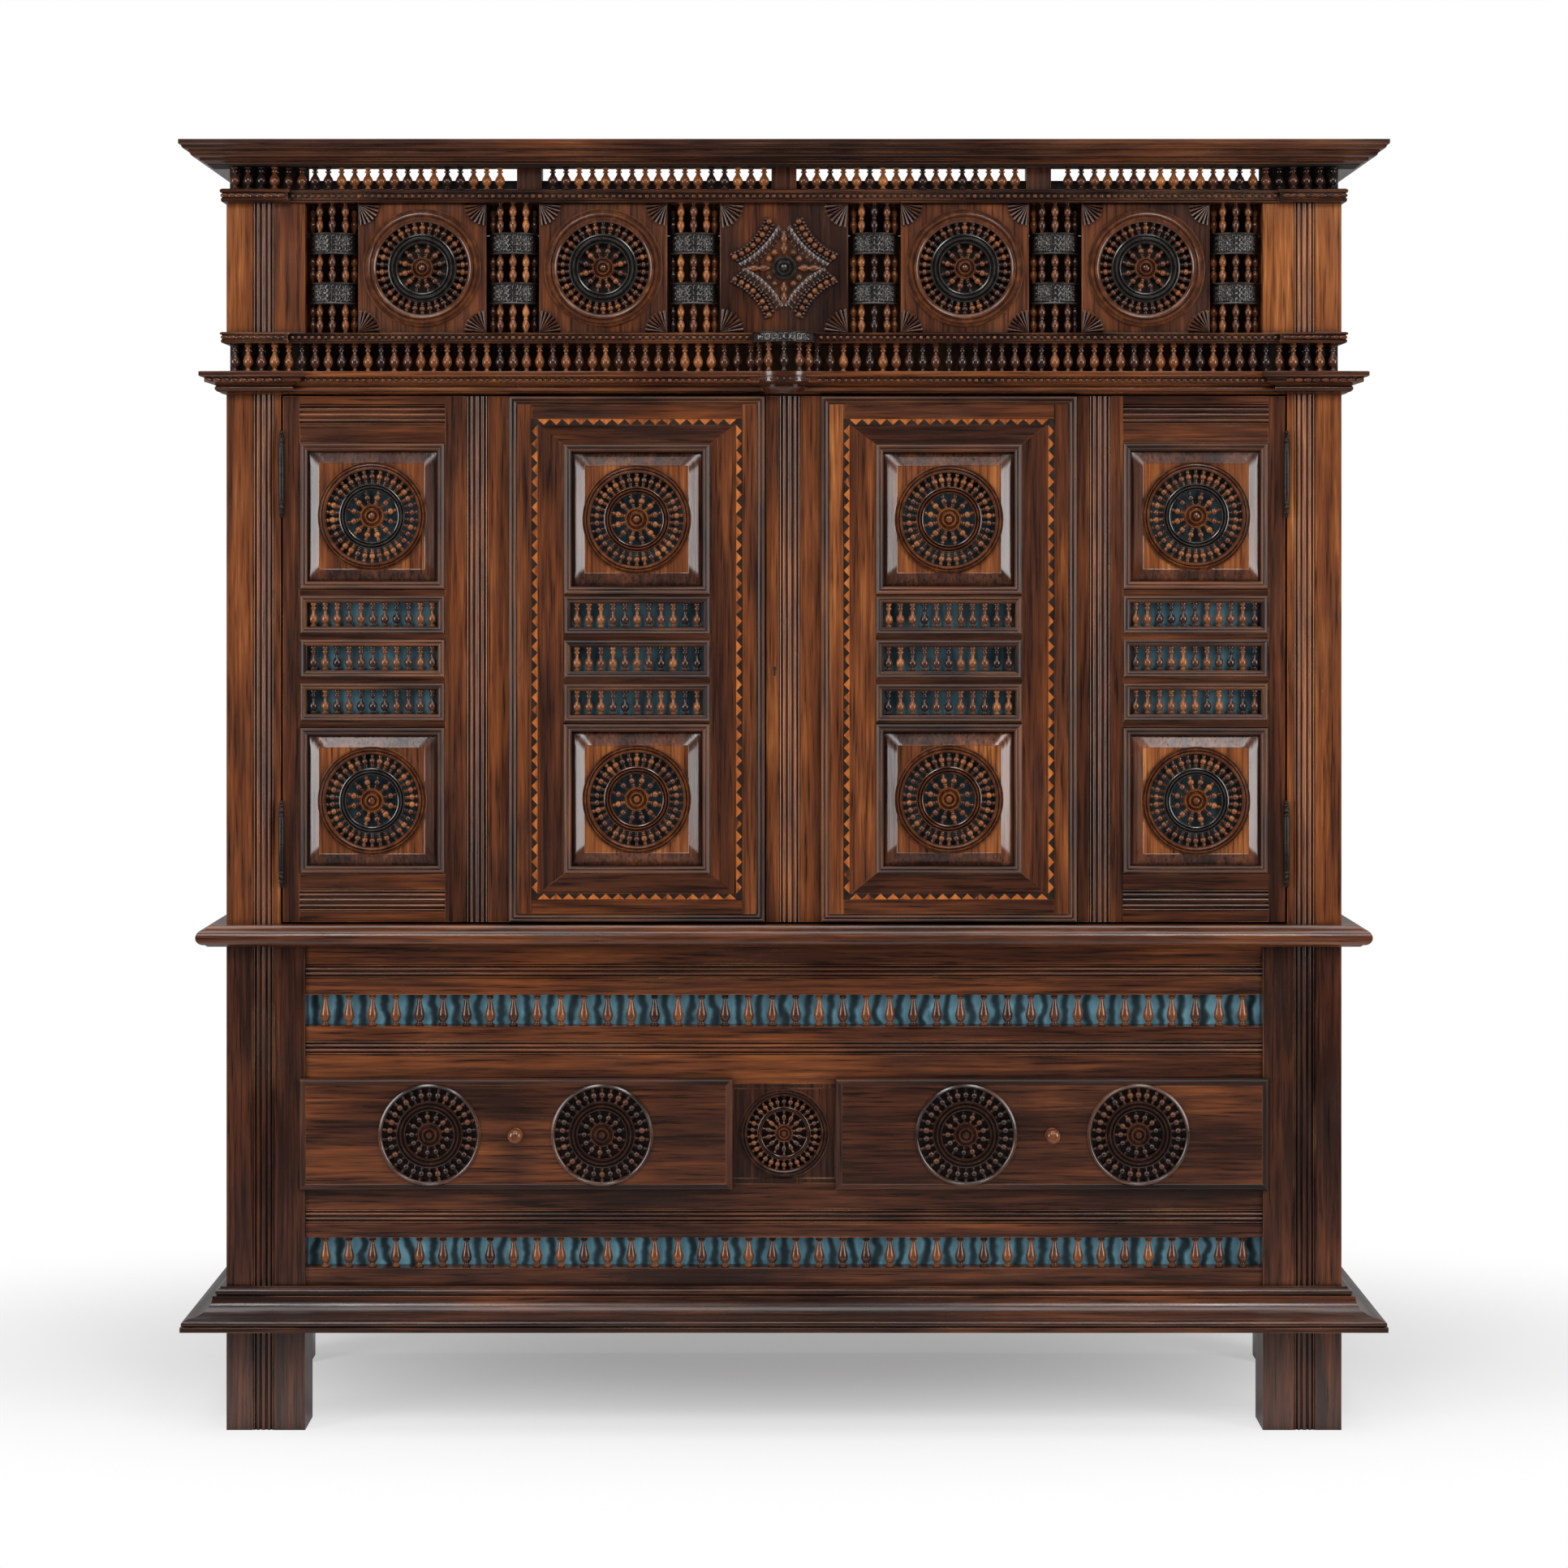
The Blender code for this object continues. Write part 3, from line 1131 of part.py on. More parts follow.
def door_curtain(word, side, carrier, inner, levels):
    """One gathered cloth behind both columns of a door."""
    x = sorted((side * (inner - CLOTH_OVERLAP), side * (PANEL_OUTER + CLOTH_OVERLAP)))
    y = DOOR_BACK + GAP + CLOTH_FOLD / 2 + CLOTH_THICKNESS / 2
    curtain(f"{word}_door_curtain", x, y, (levels[1] - CLOTH_OVERLAP, levels[-2] + CLOTH_OVERLAP),
            DOOR_FOLD_PITCH, carrier)


def hinges(word, side, carrier):
    """Two lift-off hinges: a pin half on the post and a sleeve half on the door."""
    half = HINGE_LENGTH / 2
    radius, pin = HINGE_RADIUS, HINGE_PIN_RADIUS
    bore = pin + HINGE_BORE_CLEARANCE
    depth = half - HINGE_FINIAL
    finial = [(radius * 0.5, 0.0), (radius * 0.9, HINGE_FINIAL * 0.4), (radius * 0.5, HINGE_FINIAL * 0.8)]
    for row, level in HINGE_LEVELS.items():
        foot = (side * HINGE_AXIS, HINGE_AXIS_Y, level)
        lower = [(a, b - half) for a, b in finial] + [(radius, HINGE_FINIAL - half), (radius, -GAP)]
        bm = bmesh.new()
        add_turning(bm, lower + [(pin, -GAP), (pin, depth - HINGE_BORE_CLEARANCE)], 8, foot)
        pin_half = make(f"{word}_{row}_hinge_pin", bm, IRON)
        leaf = hinge_leaf(side, level - half + HINGE_FINIAL, level - GAP, 1)
        join(pin_half, leaf, f"{word}_{row}_pin_leaf")
        upper = [(bore, depth), (bore, GAP), (radius, GAP), (radius, depth)]
        upper += [(a, half - b) for a, b in reversed(finial)]
        bm = bmesh.new()
        add_turning(bm, upper, 8, foot)
        sleeve = make(f"{word}_{row}_hinge_sleeve", bm, IRON, carrier)
        leaf = hinge_leaf(side, level + GAP, level + half - HINGE_FINIAL, -1)
        join(sleeve, leaf, f"{word}_{row}_sleeve_leaf")


def hinge_leaf(side, low, high, lean):
    """A leaf let into the slit between post and door, lying against one of them."""
    near = HINGE_AXIS + lean * (HINGE_SLIT / 2 - GAP)
    x = (side * near, side * (near - lean * HINGE_LEAF))
    bm = bmesh.new()
    start = HINGE_AXIS_Y + (HINGE_RADIUS + HINGE_PIN_RADIUS + HINGE_BORE_CLEARANCE) / 2
    add_box(bm, x, (start, FRONT + HINGE_LEAF_DEPTH), (low + PROUD, high - PROUD))
    return bm


def lock(carrier):
    """A rim lock on the back of the right door, with its bolt drawn back into the case."""
    edge = MEETING_OFFSET + MEETING_GAP / 2
    width, depth, height = LOCK_CASE
    length, thick, tall = BOLT_SIZE
    near = edge + LOCK_EDGE
    y = DOOR_BACK + GAP
    middle = y + depth / 2
    z = (LOCK_LEVEL - height / 2, LOCK_LEVEL + height / 2)
    case = board("lock_case", (near, near + width), (y, y + depth), z, IRON, carrier)
    channel = bmesh.new()
    x = (near - PROUD, near + length + GAP)
    add_box(channel, x, (middle - thick / 2 - GAP, middle + thick / 2 + GAP),
            (LOCK_LEVEL - tall / 2 - GAP, LOCK_LEVEL + tall / 2 + GAP))
    cut(case, channel, "bolt_channel")
    slide = pivot("lock_bolt_slide", (near, middle, LOCK_LEVEL))
    board("lock_bolt", (near, near + length), (middle - thick / 2, middle + thick / 2),
          (LOCK_LEVEL - tall / 2, LOCK_LEVEL + tall / 2), BRASS, slide)


def clear_scene():
    """Remove whatever the new scene starts with."""
    for obj in list(bpy.data.objects):
        bpy.data.objects.remove(obj, do_unlink=True)


clear_scene()
WOOD = finish("dark_oak", (0.075, 0.030, 0.016), 0.42)
PALE_WOOD = finish("inner_oak", (0.200, 0.110, 0.055), 0.60)
CLOTH = finish("teal_cloth", (0.075, 0.200, 0.250), 0.85)
IRON = finish("black_iron", (0.020, 0.018, 0.017), 0.45, 0.9)
BRASS = finish("bolt_iron", (0.180, 0.170, 0.160), 0.40, 0.9)

chest_frame()
base_moulding()
centre_panel()
drawer_bearer()
chest_curtains()
waist_shelf()
for drawer_word, drawer_side in SIDES.items():
    drawer(drawer_word, drawer_side)
cabinet_frame()
lower_cornice()
frieze_lower_rail()
frieze_panels()
frieze_upper_rail()
crown_cornice()
door_axes = {door_word: door(door_word, door_side) for door_word, door_side in SIDES.items()}
lock(door_axes["right"])
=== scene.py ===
"""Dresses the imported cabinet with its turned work, carving, mouldings, inlay, cloth and finishes."""

import math
import random

import bmesh
import bpy
import numpy as np
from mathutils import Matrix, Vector


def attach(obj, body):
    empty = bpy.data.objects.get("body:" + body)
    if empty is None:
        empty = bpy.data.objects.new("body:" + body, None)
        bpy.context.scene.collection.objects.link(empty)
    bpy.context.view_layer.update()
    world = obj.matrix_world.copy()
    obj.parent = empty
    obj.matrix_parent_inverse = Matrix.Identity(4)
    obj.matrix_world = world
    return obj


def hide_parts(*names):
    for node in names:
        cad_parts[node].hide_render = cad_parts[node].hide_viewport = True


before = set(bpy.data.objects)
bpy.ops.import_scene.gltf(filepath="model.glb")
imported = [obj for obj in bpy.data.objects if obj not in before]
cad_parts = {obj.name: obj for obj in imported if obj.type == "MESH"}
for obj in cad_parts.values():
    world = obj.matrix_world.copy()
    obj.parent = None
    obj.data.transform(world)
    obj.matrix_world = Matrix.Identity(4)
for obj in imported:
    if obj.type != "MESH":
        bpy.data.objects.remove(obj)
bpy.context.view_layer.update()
rng = random.Random(41)

# Planes and levels of the frame, in metres
GAP = 0.0003
HALF = 0.893
FRONT = -0.237
BACK = 0.303
POST_INNER = 0.767
POST_BACK = -0.152
POST_WIDTH = 0.126
RAIL_FACE = -0.233
RAIL_BACK = -0.203
HEADER_BACK = -0.2013
BACK_FACE = 0.285
DOOR_BACK = -0.213
INLAY_FACE = -0.247
REBATE_EDGE = 0.806
REBATE_STOP = 0.784
REBATE_BACK = -0.211
FOOT_TOP = 0.170
BOTTOM_RAIL_TOP = 0.259
LOWER_RAIL_BASE = 0.308
DRAWER_BASE = 0.394
DRAWER_TOP = 0.555
MIDDLE_RAIL_TOP = 0.646
TOP_RAIL_BASE = 0.697
WAIST_BASE = 0.777
WAIST_TOP = 0.811
DOOR_BASE = 0.814
DOOR_TOP = 1.656
LOWER_CORNICE_BASE = 1.659
LOWER_CORNICE_TOP = 1.694
LOWER_BEAD_BASE = 1.740
FRIEZE_BASE = 1.758
FRIEZE_CENTRE = 1.8615
FRIEZE_TOP = 1.965
UPPER_BEAD_TOP = 1.987
CORNICE_BASE = 2.025
HINGE_EDGE = 0.803
PANEL_OUTER = 0.776
PANEL_INNER = 0.543
MEETING = -0.0293
MEETING_GAP = 0.002
LEADING_STILE = 0.087
MID_STILE = {"left": 0.1027, "right": 0.0743}
INLAY_PANEL_WIDTH = 0.208
DRAWER_CENTRE = 0.429
DRAWER_LEVEL = 0.4745
DRAWER_FACE = -0.2473
FRIEZE_PITCH = 0.290
FRIEZE_PANEL = 0.206
CLUSTER_RADIUS = 0.0405
CORNER_STEP = 0.798
CORNER_PROUD = 0.010
BALUSTER_REACH = 0.755
BALUSTERS = 40
GALLERY_REACH = 0.8896
GALLERY_SPINDLES = 84
SIDES = {"left": -1, "right": 1}
CORNERS = ((-1, -1), (-1, 1), (1, -1), (1, 1))
OUTWARD = (0, -1, 0)

# Turned outlines as (share of the radius, share of the height)
GALLERY_FORM = (
    (0.60, 0.0), (0.66, 0.05), (0.50, 0.085), (0.36, 0.12), (0.36, 0.15), (0.56, 0.19), (0.82, 0.25),
    (0.98, 0.32), (1.0, 0.38), (0.93, 0.45), (0.74, 0.53), (0.52, 0.60), (0.38, 0.67), (0.35, 0.71),
    (0.60, 0.745), (0.62, 0.78), (0.40, 0.81), (0.37, 0.85), (0.64, 0.89), (0.72, 0.93), (0.58, 0.97),
    (0.56, 1.0),
)
BALUSTER_FORM = (
    (0.70, 0.0), (0.84, 0.03), (0.84, 0.075), (0.50, 0.105), (0.46, 0.13), (0.82, 0.21), (1.0, 0.30),
    (0.98, 0.38), (0.78, 0.51), (0.56, 0.64), (0.41, 0.76), (0.34, 0.83), (0.62, 0.865), (0.72, 0.895),
    (0.50, 0.925), (0.78, 0.955), (0.82, 1.0),
)
WINDOW_FORM = (
    (0.62, 0.0), (0.76, 0.03), (0.76, 0.07), (0.44, 0.10), (0.40, 0.13), (0.72, 0.18), (0.94, 0.25),
    (1.0, 0.33), (0.94, 0.41), (0.72, 0.48), (0.42, 0.53), (0.36, 0.57), (0.40, 0.66), (0.50, 0.73),
    (0.70, 0.76), (0.70, 0.80), (0.42, 0.83), (0.42, 0.87), (0.74, 0.91), (0.80, 0.95), (0.70, 1.0),
)
SPOKE_FORM = (
    (0.46, 0.0), (0.60, 0.05), (0.60, 0.11), (0.34, 0.15), (0.34, 0.18), (0.64, 0.22), (0.64, 0.27),
    (0.36, 0.31), (0.74, 0.36), (0.96, 0.43), (1.0, 0.51), (0.95, 0.59), (0.72, 0.66), (0.36, 0.72),
    (0.36, 0.77), (0.64, 0.82), (0.64, 0.88), (0.44, 0.92), (0.50, 1.0),
)
PIN_FORM = (
    (0.42, 0.0), (0.54, 0.06), (0.54, 0.12), (0.32, 0.17), (0.34, 0.24), (0.72, 0.31), (0.96, 0.40),
    (1.0, 0.49), (0.95, 0.58), (0.70, 0.67), (0.34, 0.73), (0.34, 0.78), (0.60, 0.83), (0.60, 0.89),
    (0.44, 0.93), (0.50, 1.0),
)
KNOB_FORM = (
    (0.66, 0.0), (0.66, 0.08), (0.52, 0.14), (0.38, 0.24), (0.38, 0.34), (0.62, 0.44), (0.92, 0.56),
    (1.0, 0.68), (0.94, 0.82), (0.70, 0.93), (0.34, 0.99), (0.02, 1.0),
)
KNOB_COLLAR = ((0.0075, 0.0), (0.0118, 0.0), (0.0118, 0.0015), (0.0105, 0.003), (0.0075, 0.003))
BALL_FORM = ((0.05, -1.0), (0.60, -0.8), (0.95, -0.3), (0.95, 0.3), (0.60, 0.8), (0.05, 1.0))
BULB_FORM = (
    (0.42, 0.0), (0.46, 0.06), (0.80, 0.17), (1.0, 0.27), (0.84, 0.37), (0.46, 0.45), (0.62, 0.49),
    (0.62, 0.52), (0.46, 0.56), (0.84, 0.64), (1.0, 0.74), (0.80, 0.84), (0.46, 0.94), (0.42, 1.0),
)
ARM_FORM = (
    (0.34, 0.0), (0.42, 0.05), (0.80, 0.14), (1.0, 0.26), (0.80, 0.38), (0.46, 0.46), (0.80, 0.55),
    (1.0, 0.67), (0.80, 0.79), (0.36, 0.89), (0.12, 1.0),
)


# Materials

# Where an untoned point lies on a stain's ramp, and where most values of a noise lie
STAIN = 0.46
MOST = (0.3, 0.7)
RUBBED = (0.46, 0.180, 0.064, 1.0)
RUST = (0.076, 0.032, 0.015, 1.0)
WHITE = (1.0, 1.0, 1.0, 1.0)
MIRRORED_WHITE = 0.3
WINDOW_LEVEL = 1.235
THREADS = {"Scale": 420.0, "Distortion": 0.6, "Detail": 1.0}
OAK_STOPS = (
    (0.0, (0.0128, 0.0056, 0.0042)), (0.30, (0.0360, 0.0122, 0.0072)), (0.50, (0.0920, 0.0285, 0.0125)),
    (0.70, (0.2040, 0.0600, 0.0185)), (0.88, (0.3650, 0.1240, 0.0350)), (1.0, (0.560, 0.226, 0.072)),
)
TURNED_STOPS = (
    (0.0, (0.0128, 0.0074, 0.0064)), (0.30, (0.034, 0.0134, 0.0088)), (0.52, (0.106, 0.0330, 0.0130)),
    (0.74, (0.272, 0.0840, 0.0210)), (1.0, (0.612, 0.226, 0.062)),
)
SLATE_STOPS = (
    (0.0, (0.0085, 0.0072, 0.0066)), (0.30, (0.0190, 0.0160, 0.0144)), (0.52, (0.0425, 0.0366, 0.0324)),
    (0.74, (0.105, 0.092, 0.080)), (1.0, (0.255, 0.230, 0.200)),
)
CLOTH_STOPS = ((0.2, (0.084, 0.212, 0.280)), (0.5, (0.148, 0.338, 0.430)), (0.8, (0.212, 0.440, 0.540)))
DRY_STOPS = ((0.25, (0.068, 0.031, 0.0155)), (0.5, (0.170, 0.085, 0.041)), (0.75, (0.323, 0.179, 0.089)))
# Near-black oak for boards and parts set where there is only shade: painted shade.
SHADE_STOPS = (
    (0.25, (0.0085, 0.0052, 0.0038)), (0.5, (0.0204, 0.012, 0.0086)), (0.75, (0.0374, 0.022, 0.0154)),
)
ORANGE_STOPS = ((0.34, (0.085, 0.024, 0.009)), (0.5, (0.425, 0.113, 0.022)), (0.68, (0.680, 0.214, 0.044)))
EBONY_STOPS = ((0.3, (0.0110, 0.0072, 0.0062)), (0.7, (0.036, 0.019, 0.013)))
IRON_STOPS = ((0.3, (0.0136, 0.0136, 0.0136)), (0.7, (0.037, 0.036, 0.034)))
BRIGHT_STOPS = ((0.3, (0.100, 0.094, 0.085)), (0.7, (0.29, 0.27, 0.255)))


class Graph:
    """The nodes of a material or world under construction."""

    def __init__(self, owner):
        owner.use_nodes = True
        self.owner, self.tree = owner, owner.node_tree
        self.shader = self.tree.nodes.get("Principled BSDF") or self.tree.nodes["Background"]

    def node(self, kind, inputs=None, **settings):
        """Add a node and give back its outputs."""
        made = self.tree.nodes.new("ShaderNode" + kind)
        for key, value in settings.items():
            setattr(made, key, value)
        self.feed(made, inputs or {})
        return made.outputs

    def feed(self, node, inputs):
        """Link sockets, or set them to constants."""
        for key, value in inputs.items():
            if isinstance(value, bpy.types.NodeSocket):
                self.tree.links.new(value, node.inputs[key])
            else:
                node.inputs[key].default_value = value

    def math(self, operation, first, second=0.0):
        """A math node on one or two values."""
        return self.node("Math", {0: first, 1: second}, operation=operation)[0]

    def sum(self, first, *others):
        """Values added up."""
        for other in others:
            first = self.math("ADD", first, other)
        return first

    def blend(self, first, share, second, other_share):
        """Two values added by their shares."""
        return self.sum(self.math("MULTIPLY", first, share), self.math("MULTIPLY", second, other_share))

    def spread(self, value, low, high, to_low=0.0, to_high=1.0, smooth=False):
        """A value moved from one range to another."""
        inputs = {"Value": value, "From Min": low, "From Max": high, "To Min": to_low, "To Max": to_high}
        return self.node("MapRange", inputs, interpolation_type="SMOOTHSTEP" if smooth else "LINEAR")[0]

    def noise(self, stretch, detail=3.0, distortion=0.0, roughness=0.55):
        """A noise value about a half, over coordinates shifted by the part's seed and stretched."""
        coords = self.node("TexCoord")["Object"]
        seed = self.attribute("seed")
        shift = self.node("VectorMath", {0: (7.3, 4.1, 9.7), "Scale": seed}, operation="SCALE")[0]
        moved = self.node("VectorMath", {0: coords, 1: shift}, operation="ADD")[0]
        place = self.node("Mapping", {"Vector": moved, "Scale": stretch})[0]
        inputs = {"Vector": place, "Scale": 1.0, "Detail": detail, "Distortion": distortion,
                  "Roughness": roughness}
        return self.node("TexNoise", inputs)["Fac"]

    def grain(self, axis, across, along, *settings):
        """A noise drawn out along one axis."""
        return self.noise([along if i == axis else across for i in range(3)], *settings)

    def centred(self, value, gain):
        """A noise moved to swing about zero."""
        return self.node("Math", {0: value, 1: gain, 2: -gain / 2}, operation="MULTIPLY_ADD")[0]

    def ramp(self, value, stops):
        """A colour ramp over the given stops."""
        outputs = self.node("ValToRGB", {"Fac": value})
        elements = outputs[0].node.color_ramp.elements
        while len(elements) < len(stops):
            elements.new(0.5)
        for element, (place, colour) in zip(elements, stops):
            element.position = place
            element.color = (*colour, 1.0)
        return outputs["Color"]

    def mix(self, share, first, second, blend="MIX"):
        """Mix two colours."""
        return self.node("Mix", {0: share, 6: first, 7: second}, data_type="RGBA", blend_type=blend)[2]

    def dimmed(self, colour, *shares):
        """A colour multiplied by each share."""
        for share in shares:
            colour = self.mix(1.0, colour, share, "MULTIPLY")
        return colour

    def attribute(self, name):
        """A number carried by the mesh."""
        return self.node("Attribute", attribute_name=name)["Fac"]

    def dirt_and_shade(self, distance, low):
        """Painted shade in crevices and recesses, partly standing for dirt: from low in a crevice to 1 in the
        open, by ambient occlusion.
        """
        open_share = self.node("AmbientOcclusion", {"Distance": distance}, samples=6)["AO"]
        return self.spread(open_share, 0.15, 0.85, low)

    def wear(self, radius, patch):
        """Rubbed edges, broken up by a noise."""
        bent = self.node("Bevel", {"Radius": radius}, samples=4)[0]
        flat = self.node("NewGeometry")["Normal"]
        along = self.node("VectorMath", {0: bent, 1: flat}, operation="DOT_PRODUCT")["Value"]
        return self.math("MULTIPLY", self.spread(along, 0.99, 0.86), self.spread(patch, 0.42, 0.66))

    def seen(self, behind):
        """Which rays are shiny, and how much of a white surround each ray sees."""
        path = self.node("LightPath")
        shiny = self.math("MAXIMUM", path["Is Glossy Ray"], path["Is Transmission Ray"])
        mirrored = self.math("MULTIPLY", self.math("MULTIPLY", shiny, behind), MIRRORED_WHITE)
        return shiny, self.math("MAXIMUM", path["Is Camera Ray"], mirrored)

    def finish(self, colour, rough, others, height, strength, distance):
        """Send the looks and a height to the shader."""
        normal = self.node("Bump", {"Height": height, "Strength": strength, "Distance": distance})[0]
        self.feed(self.shader, {"Base Color": colour, "Roughness": rough, **others, "Normal": normal})
        return self.owner


def new_graph(name):
    """The nodes of a new material."""
    return Graph(bpy.data.materials.new(name))


def oak(name, axis, rough=(0.17, 0.29), gloss=0.72):
    """Dark waxed oak with its grain along one axis."""
    graph = new_graph(name)
    blotch = graph.grain(axis, 7.0, 2.2, 3.0, 0.4)
    streak = graph.grain(axis, 48.0, 2.4, 4.0, 0.5, 0.6)
    fine = graph.grain(axis, 230.0, 9.0, 3.0, 0.2, 0.6)
    patch = graph.grain(axis, 14.0, 6.0)
    swings = [graph.centred(part, gain) for part, gain in ((blotch, 0.95), (streak, 0.75), (fine, 0.62))]
    colour = graph.ramp(graph.sum(*swings, graph.attribute("tone"), STAIN), OAK_STOPS)
    colour = graph.mix(graph.wear(0.0020, patch), colour, RUBBED)
    # Darker along the fine grain, plus painted shade in crevices (partly dirt) from ambient occlusion.
    colour = graph.dimmed(colour, graph.spread(fine, 0.30, 0.44, 0.42), graph.dirt_and_shade(0.016, 0.14))
    height = graph.blend(streak, 1.0, fine, 0.7)
    return graph.finish(colour, graph.spread(patch, *MOST, *rough), {"Specular IOR Level": gloss},
                        height, 0.30, 0.0008)


def turned_wood(name, stops):
    """Small turned and carved work, from near black to worn by its tone."""
    graph = new_graph(name)
    blotch = graph.noise((60.0, 60.0, 60.0))
    streak = graph.noise((260.0, 260.0, 60.0))
    swings = [graph.centred(blotch, 0.55), graph.centred(streak, 0.3)]
    colour = graph.ramp(graph.sum(*swings, graph.attribute("tone"), STAIN), stops)
    # Painted shade in crevices (partly dirt) from ambient occlusion.
    colour = graph.dimmed(colour, graph.dirt_and_shade(0.006, 0.20))
    return graph.finish(colour, graph.spread(blotch, *MOST, 0.15, 0.26), {"Specular IOR Level": 0.72},
                        streak, 0.25, 0.0004)


def inlay_wood(name, stops):
    """A thin slip of inlaid wood."""
    graph = new_graph(name)
    grain = graph.noise((180.0, 180.0, 40.0))
    patch = graph.noise((9.0, 9.0, 9.0), 2.0)
    colour = graph.ramp(graph.blend(grain, 0.45, patch, 0.55), stops)
    return graph.finish(colour, graph.spread(grain, *MOST, 0.30, 0.44), {"Specular IOR Level": 0.38},
                        grain, 0.2, 0.0004)


def dry_oak(name, axis, stops):
    """Unwaxed oak of the inside and the back, with its grain along one axis."""
    graph = new_graph(name)
    streak = graph.grain(axis, 38.4, 2.64, 6.0, 1.0, 0.62)
    fine = graph.grain(axis, 150.0, 5.0)
    patch = graph.grain(axis, 3.3, 1.8, 4.0)
    colour = graph.ramp(graph.blend(streak, 0.55, patch, 0.45), stops)
    # Darker along the fine grain, plus painted shade in crevices (partly dirt) from ambient occlusion.
    colour = graph.dimmed(colour, graph.spread(fine, 0.30, 0.45, 0.55), graph.dirt_and_shade(0.04, 0.35))
    return graph.finish(colour, graph.spread(fine, *MOST, 0.78, 0.62), {"Specular IOR Level": 0.5},
                        graph.sum(streak, fine), 0.4, 0.001)


def teal_cloth(name, reach, deep, fold_shade, gain, lit_half=None, hollow=None):
    """Teal sateen, brightened by gain, with painted shade where it lies deep, painted fold shadows, painted
    baluster shadows in the hollows, and painted shade away from the windows.
    """
    graph = new_graph(name)
    coords = graph.node("TexCoord")["Object"]
    place = graph.node("SeparateXYZ", {"Vector": coords})
    threads = [graph.node("TexWave", {"Vector": coords, **THREADS}, bands_direction=way)["Fac"] for way in "XZ"]
    weave = graph.math("MULTIPLY", *threads)
    fade = graph.noise((9.0, 9.0, 5.0))
    stops = [(at, tuple(gain * part for part in shade)) for at, shade in CLOTH_STOPS]
    colour = graph.ramp(graph.blend(fade, 0.75, weave, 0.3), stops)
    # Painted fold shadows from a noise, and painted shade by ambient occlusion where the cloth lies deep.
    fold_shadow = graph.noise((42.0, 1.0, 16.0), 2.0)
    colour = graph.dimmed(colour, graph.spread(fold_shadow, 0.36, 0.56, fold_shade), graph.dirt_and_shade(reach, deep))
    # Painted baluster shadows: the cloth darkens in the hollows midway between the balusters.
    if hollow:
        turn = graph.math("MULTIPLY", graph.sum(place["X"], BALUSTER_REACH),
                          math.pi * BALUSTERS / BALUSTER_REACH)
        sway = graph.centred(graph.noise((16.0, 1.0, 26.0), 2.0), 5.0)
        swell = graph.math("COSINE", graph.sum(turn, sway))
        colour = graph.dimmed(colour, graph.spread(swell, 0.05, 1.0, 1.0, hollow, True))
    # Painted shade: darker away from the window band, behind the wheel panels.
    if lit_half:
        away = graph.math("ABSOLUTE", graph.math("SUBTRACT", place["Z"], WINDOW_LEVEL))
        colour = graph.dimmed(colour, graph.spread(away, lit_half, lit_half + 0.09, 1.0, 0.42, True))
    return graph.finish(colour, graph.spread(weave, 0.0, 1.0, 0.62, 0.78),
                        {"Sheen Weight": 0.25, "Sheen Roughness": 0.4}, weave, 0.3, 0.0003)


def iron(name, stops):
    """Forged iron, blackened and a little rusty."""
    graph = new_graph(name)
    patch = graph.noise((70.0, 70.0, 70.0), 4.0)
    rust = graph.noise((24.0, 24.0, 24.0))
    colour = graph.mix(graph.spread(rust, 0.56, 0.70, 0.0, 0.6), graph.ramp(patch, stops), RUST)
    return graph.finish(colour, graph.spread(patch, *MOST, 0.24, 0.42), {"Metallic": 0.6},
                        patch, 0.4, 0.0006)


DULL = ((0.32, 0.48), 0.46)
FINISHES = {
    "oak_x": oak("waxed_oak_x", 0),
    "oak_y": oak("waxed_oak_y", 1),
    "oak_z": oak("waxed_oak_z", 2),
    "dull_x": oak("dull_oak_x", 0, *DULL),
    "dull_z": oak("dull_oak_z", 2, *DULL),
    "turned": turned_wood("turned_wood", TURNED_STOPS),
    "slate": turned_wood("blackened_wood", SLATE_STOPS),
    "inlay": inlay_wood("inlay_orange", ORANGE_STOPS),
    "ebony": inlay_wood("inlay_black", EBONY_STOPS),
    "dry_x": dry_oak("dry_oak_x", 0, DRY_STOPS),
    "dry_y": dry_oak("dry_oak_y", 1, DRY_STOPS),
    "dry": dry_oak("dry_oak", 2, DRY_STOPS),
    # Near-black oak set where there is only shade: painted shade.
    "shade": dry_oak("sooty_oak", 2, SHADE_STOPS),
    # The chest cloth is a brightened copy, painted light; the door cloth is a darker copy, painted shade.
    "cloth": teal_cloth("teal_cloth", 0.016, 0.85, 0.88, 1.80, hollow=0.10),
    "deep_cloth": teal_cloth("teal_cloth_shaded", 0.020, 0.82, 0.42, 1.15, 0.10),
    "iron": iron("black_iron", IRON_STOPS),
    "bright": iron("bolt_iron", BRIGHT_STOPS),
}


# Shapes

SHARP = math.radians(40)
SPINDLE_SIDES = 12
HUB_SIDES = 28


class Form:
    """The points and faces of one piece, with a finish for each face and a tone and seed for each point."""

    def __init__(self):
        self.points, self.faces, self.finish, self.tone, self.seed = [], [], [], [], []
        self.count = 0

    def add(self, points, faces, finish, tone=0.0):
        """Add one part."""
        points = np.asarray(points, float).reshape(-1, 3)
        self.points.append(points)
        self.tone.append(np.broadcast_to(np.asarray(tone, float), (len(points),)))
        self.seed.append(np.full(len(points), rng.random()))
        self.faces += shifted(faces, self.count)
        self.finish += [finish] * len(faces)
        self.count += len(points)


def shifted(faces, start):
    """Faces whose points come after others."""
    return [tuple(start + i for i in face) for face in faces]


def link(name, data):
    """Add an object to the scene."""
    obj = bpy.data.objects.new(name, data)
    bpy.context.scene.collection.objects.link(obj)
    return obj


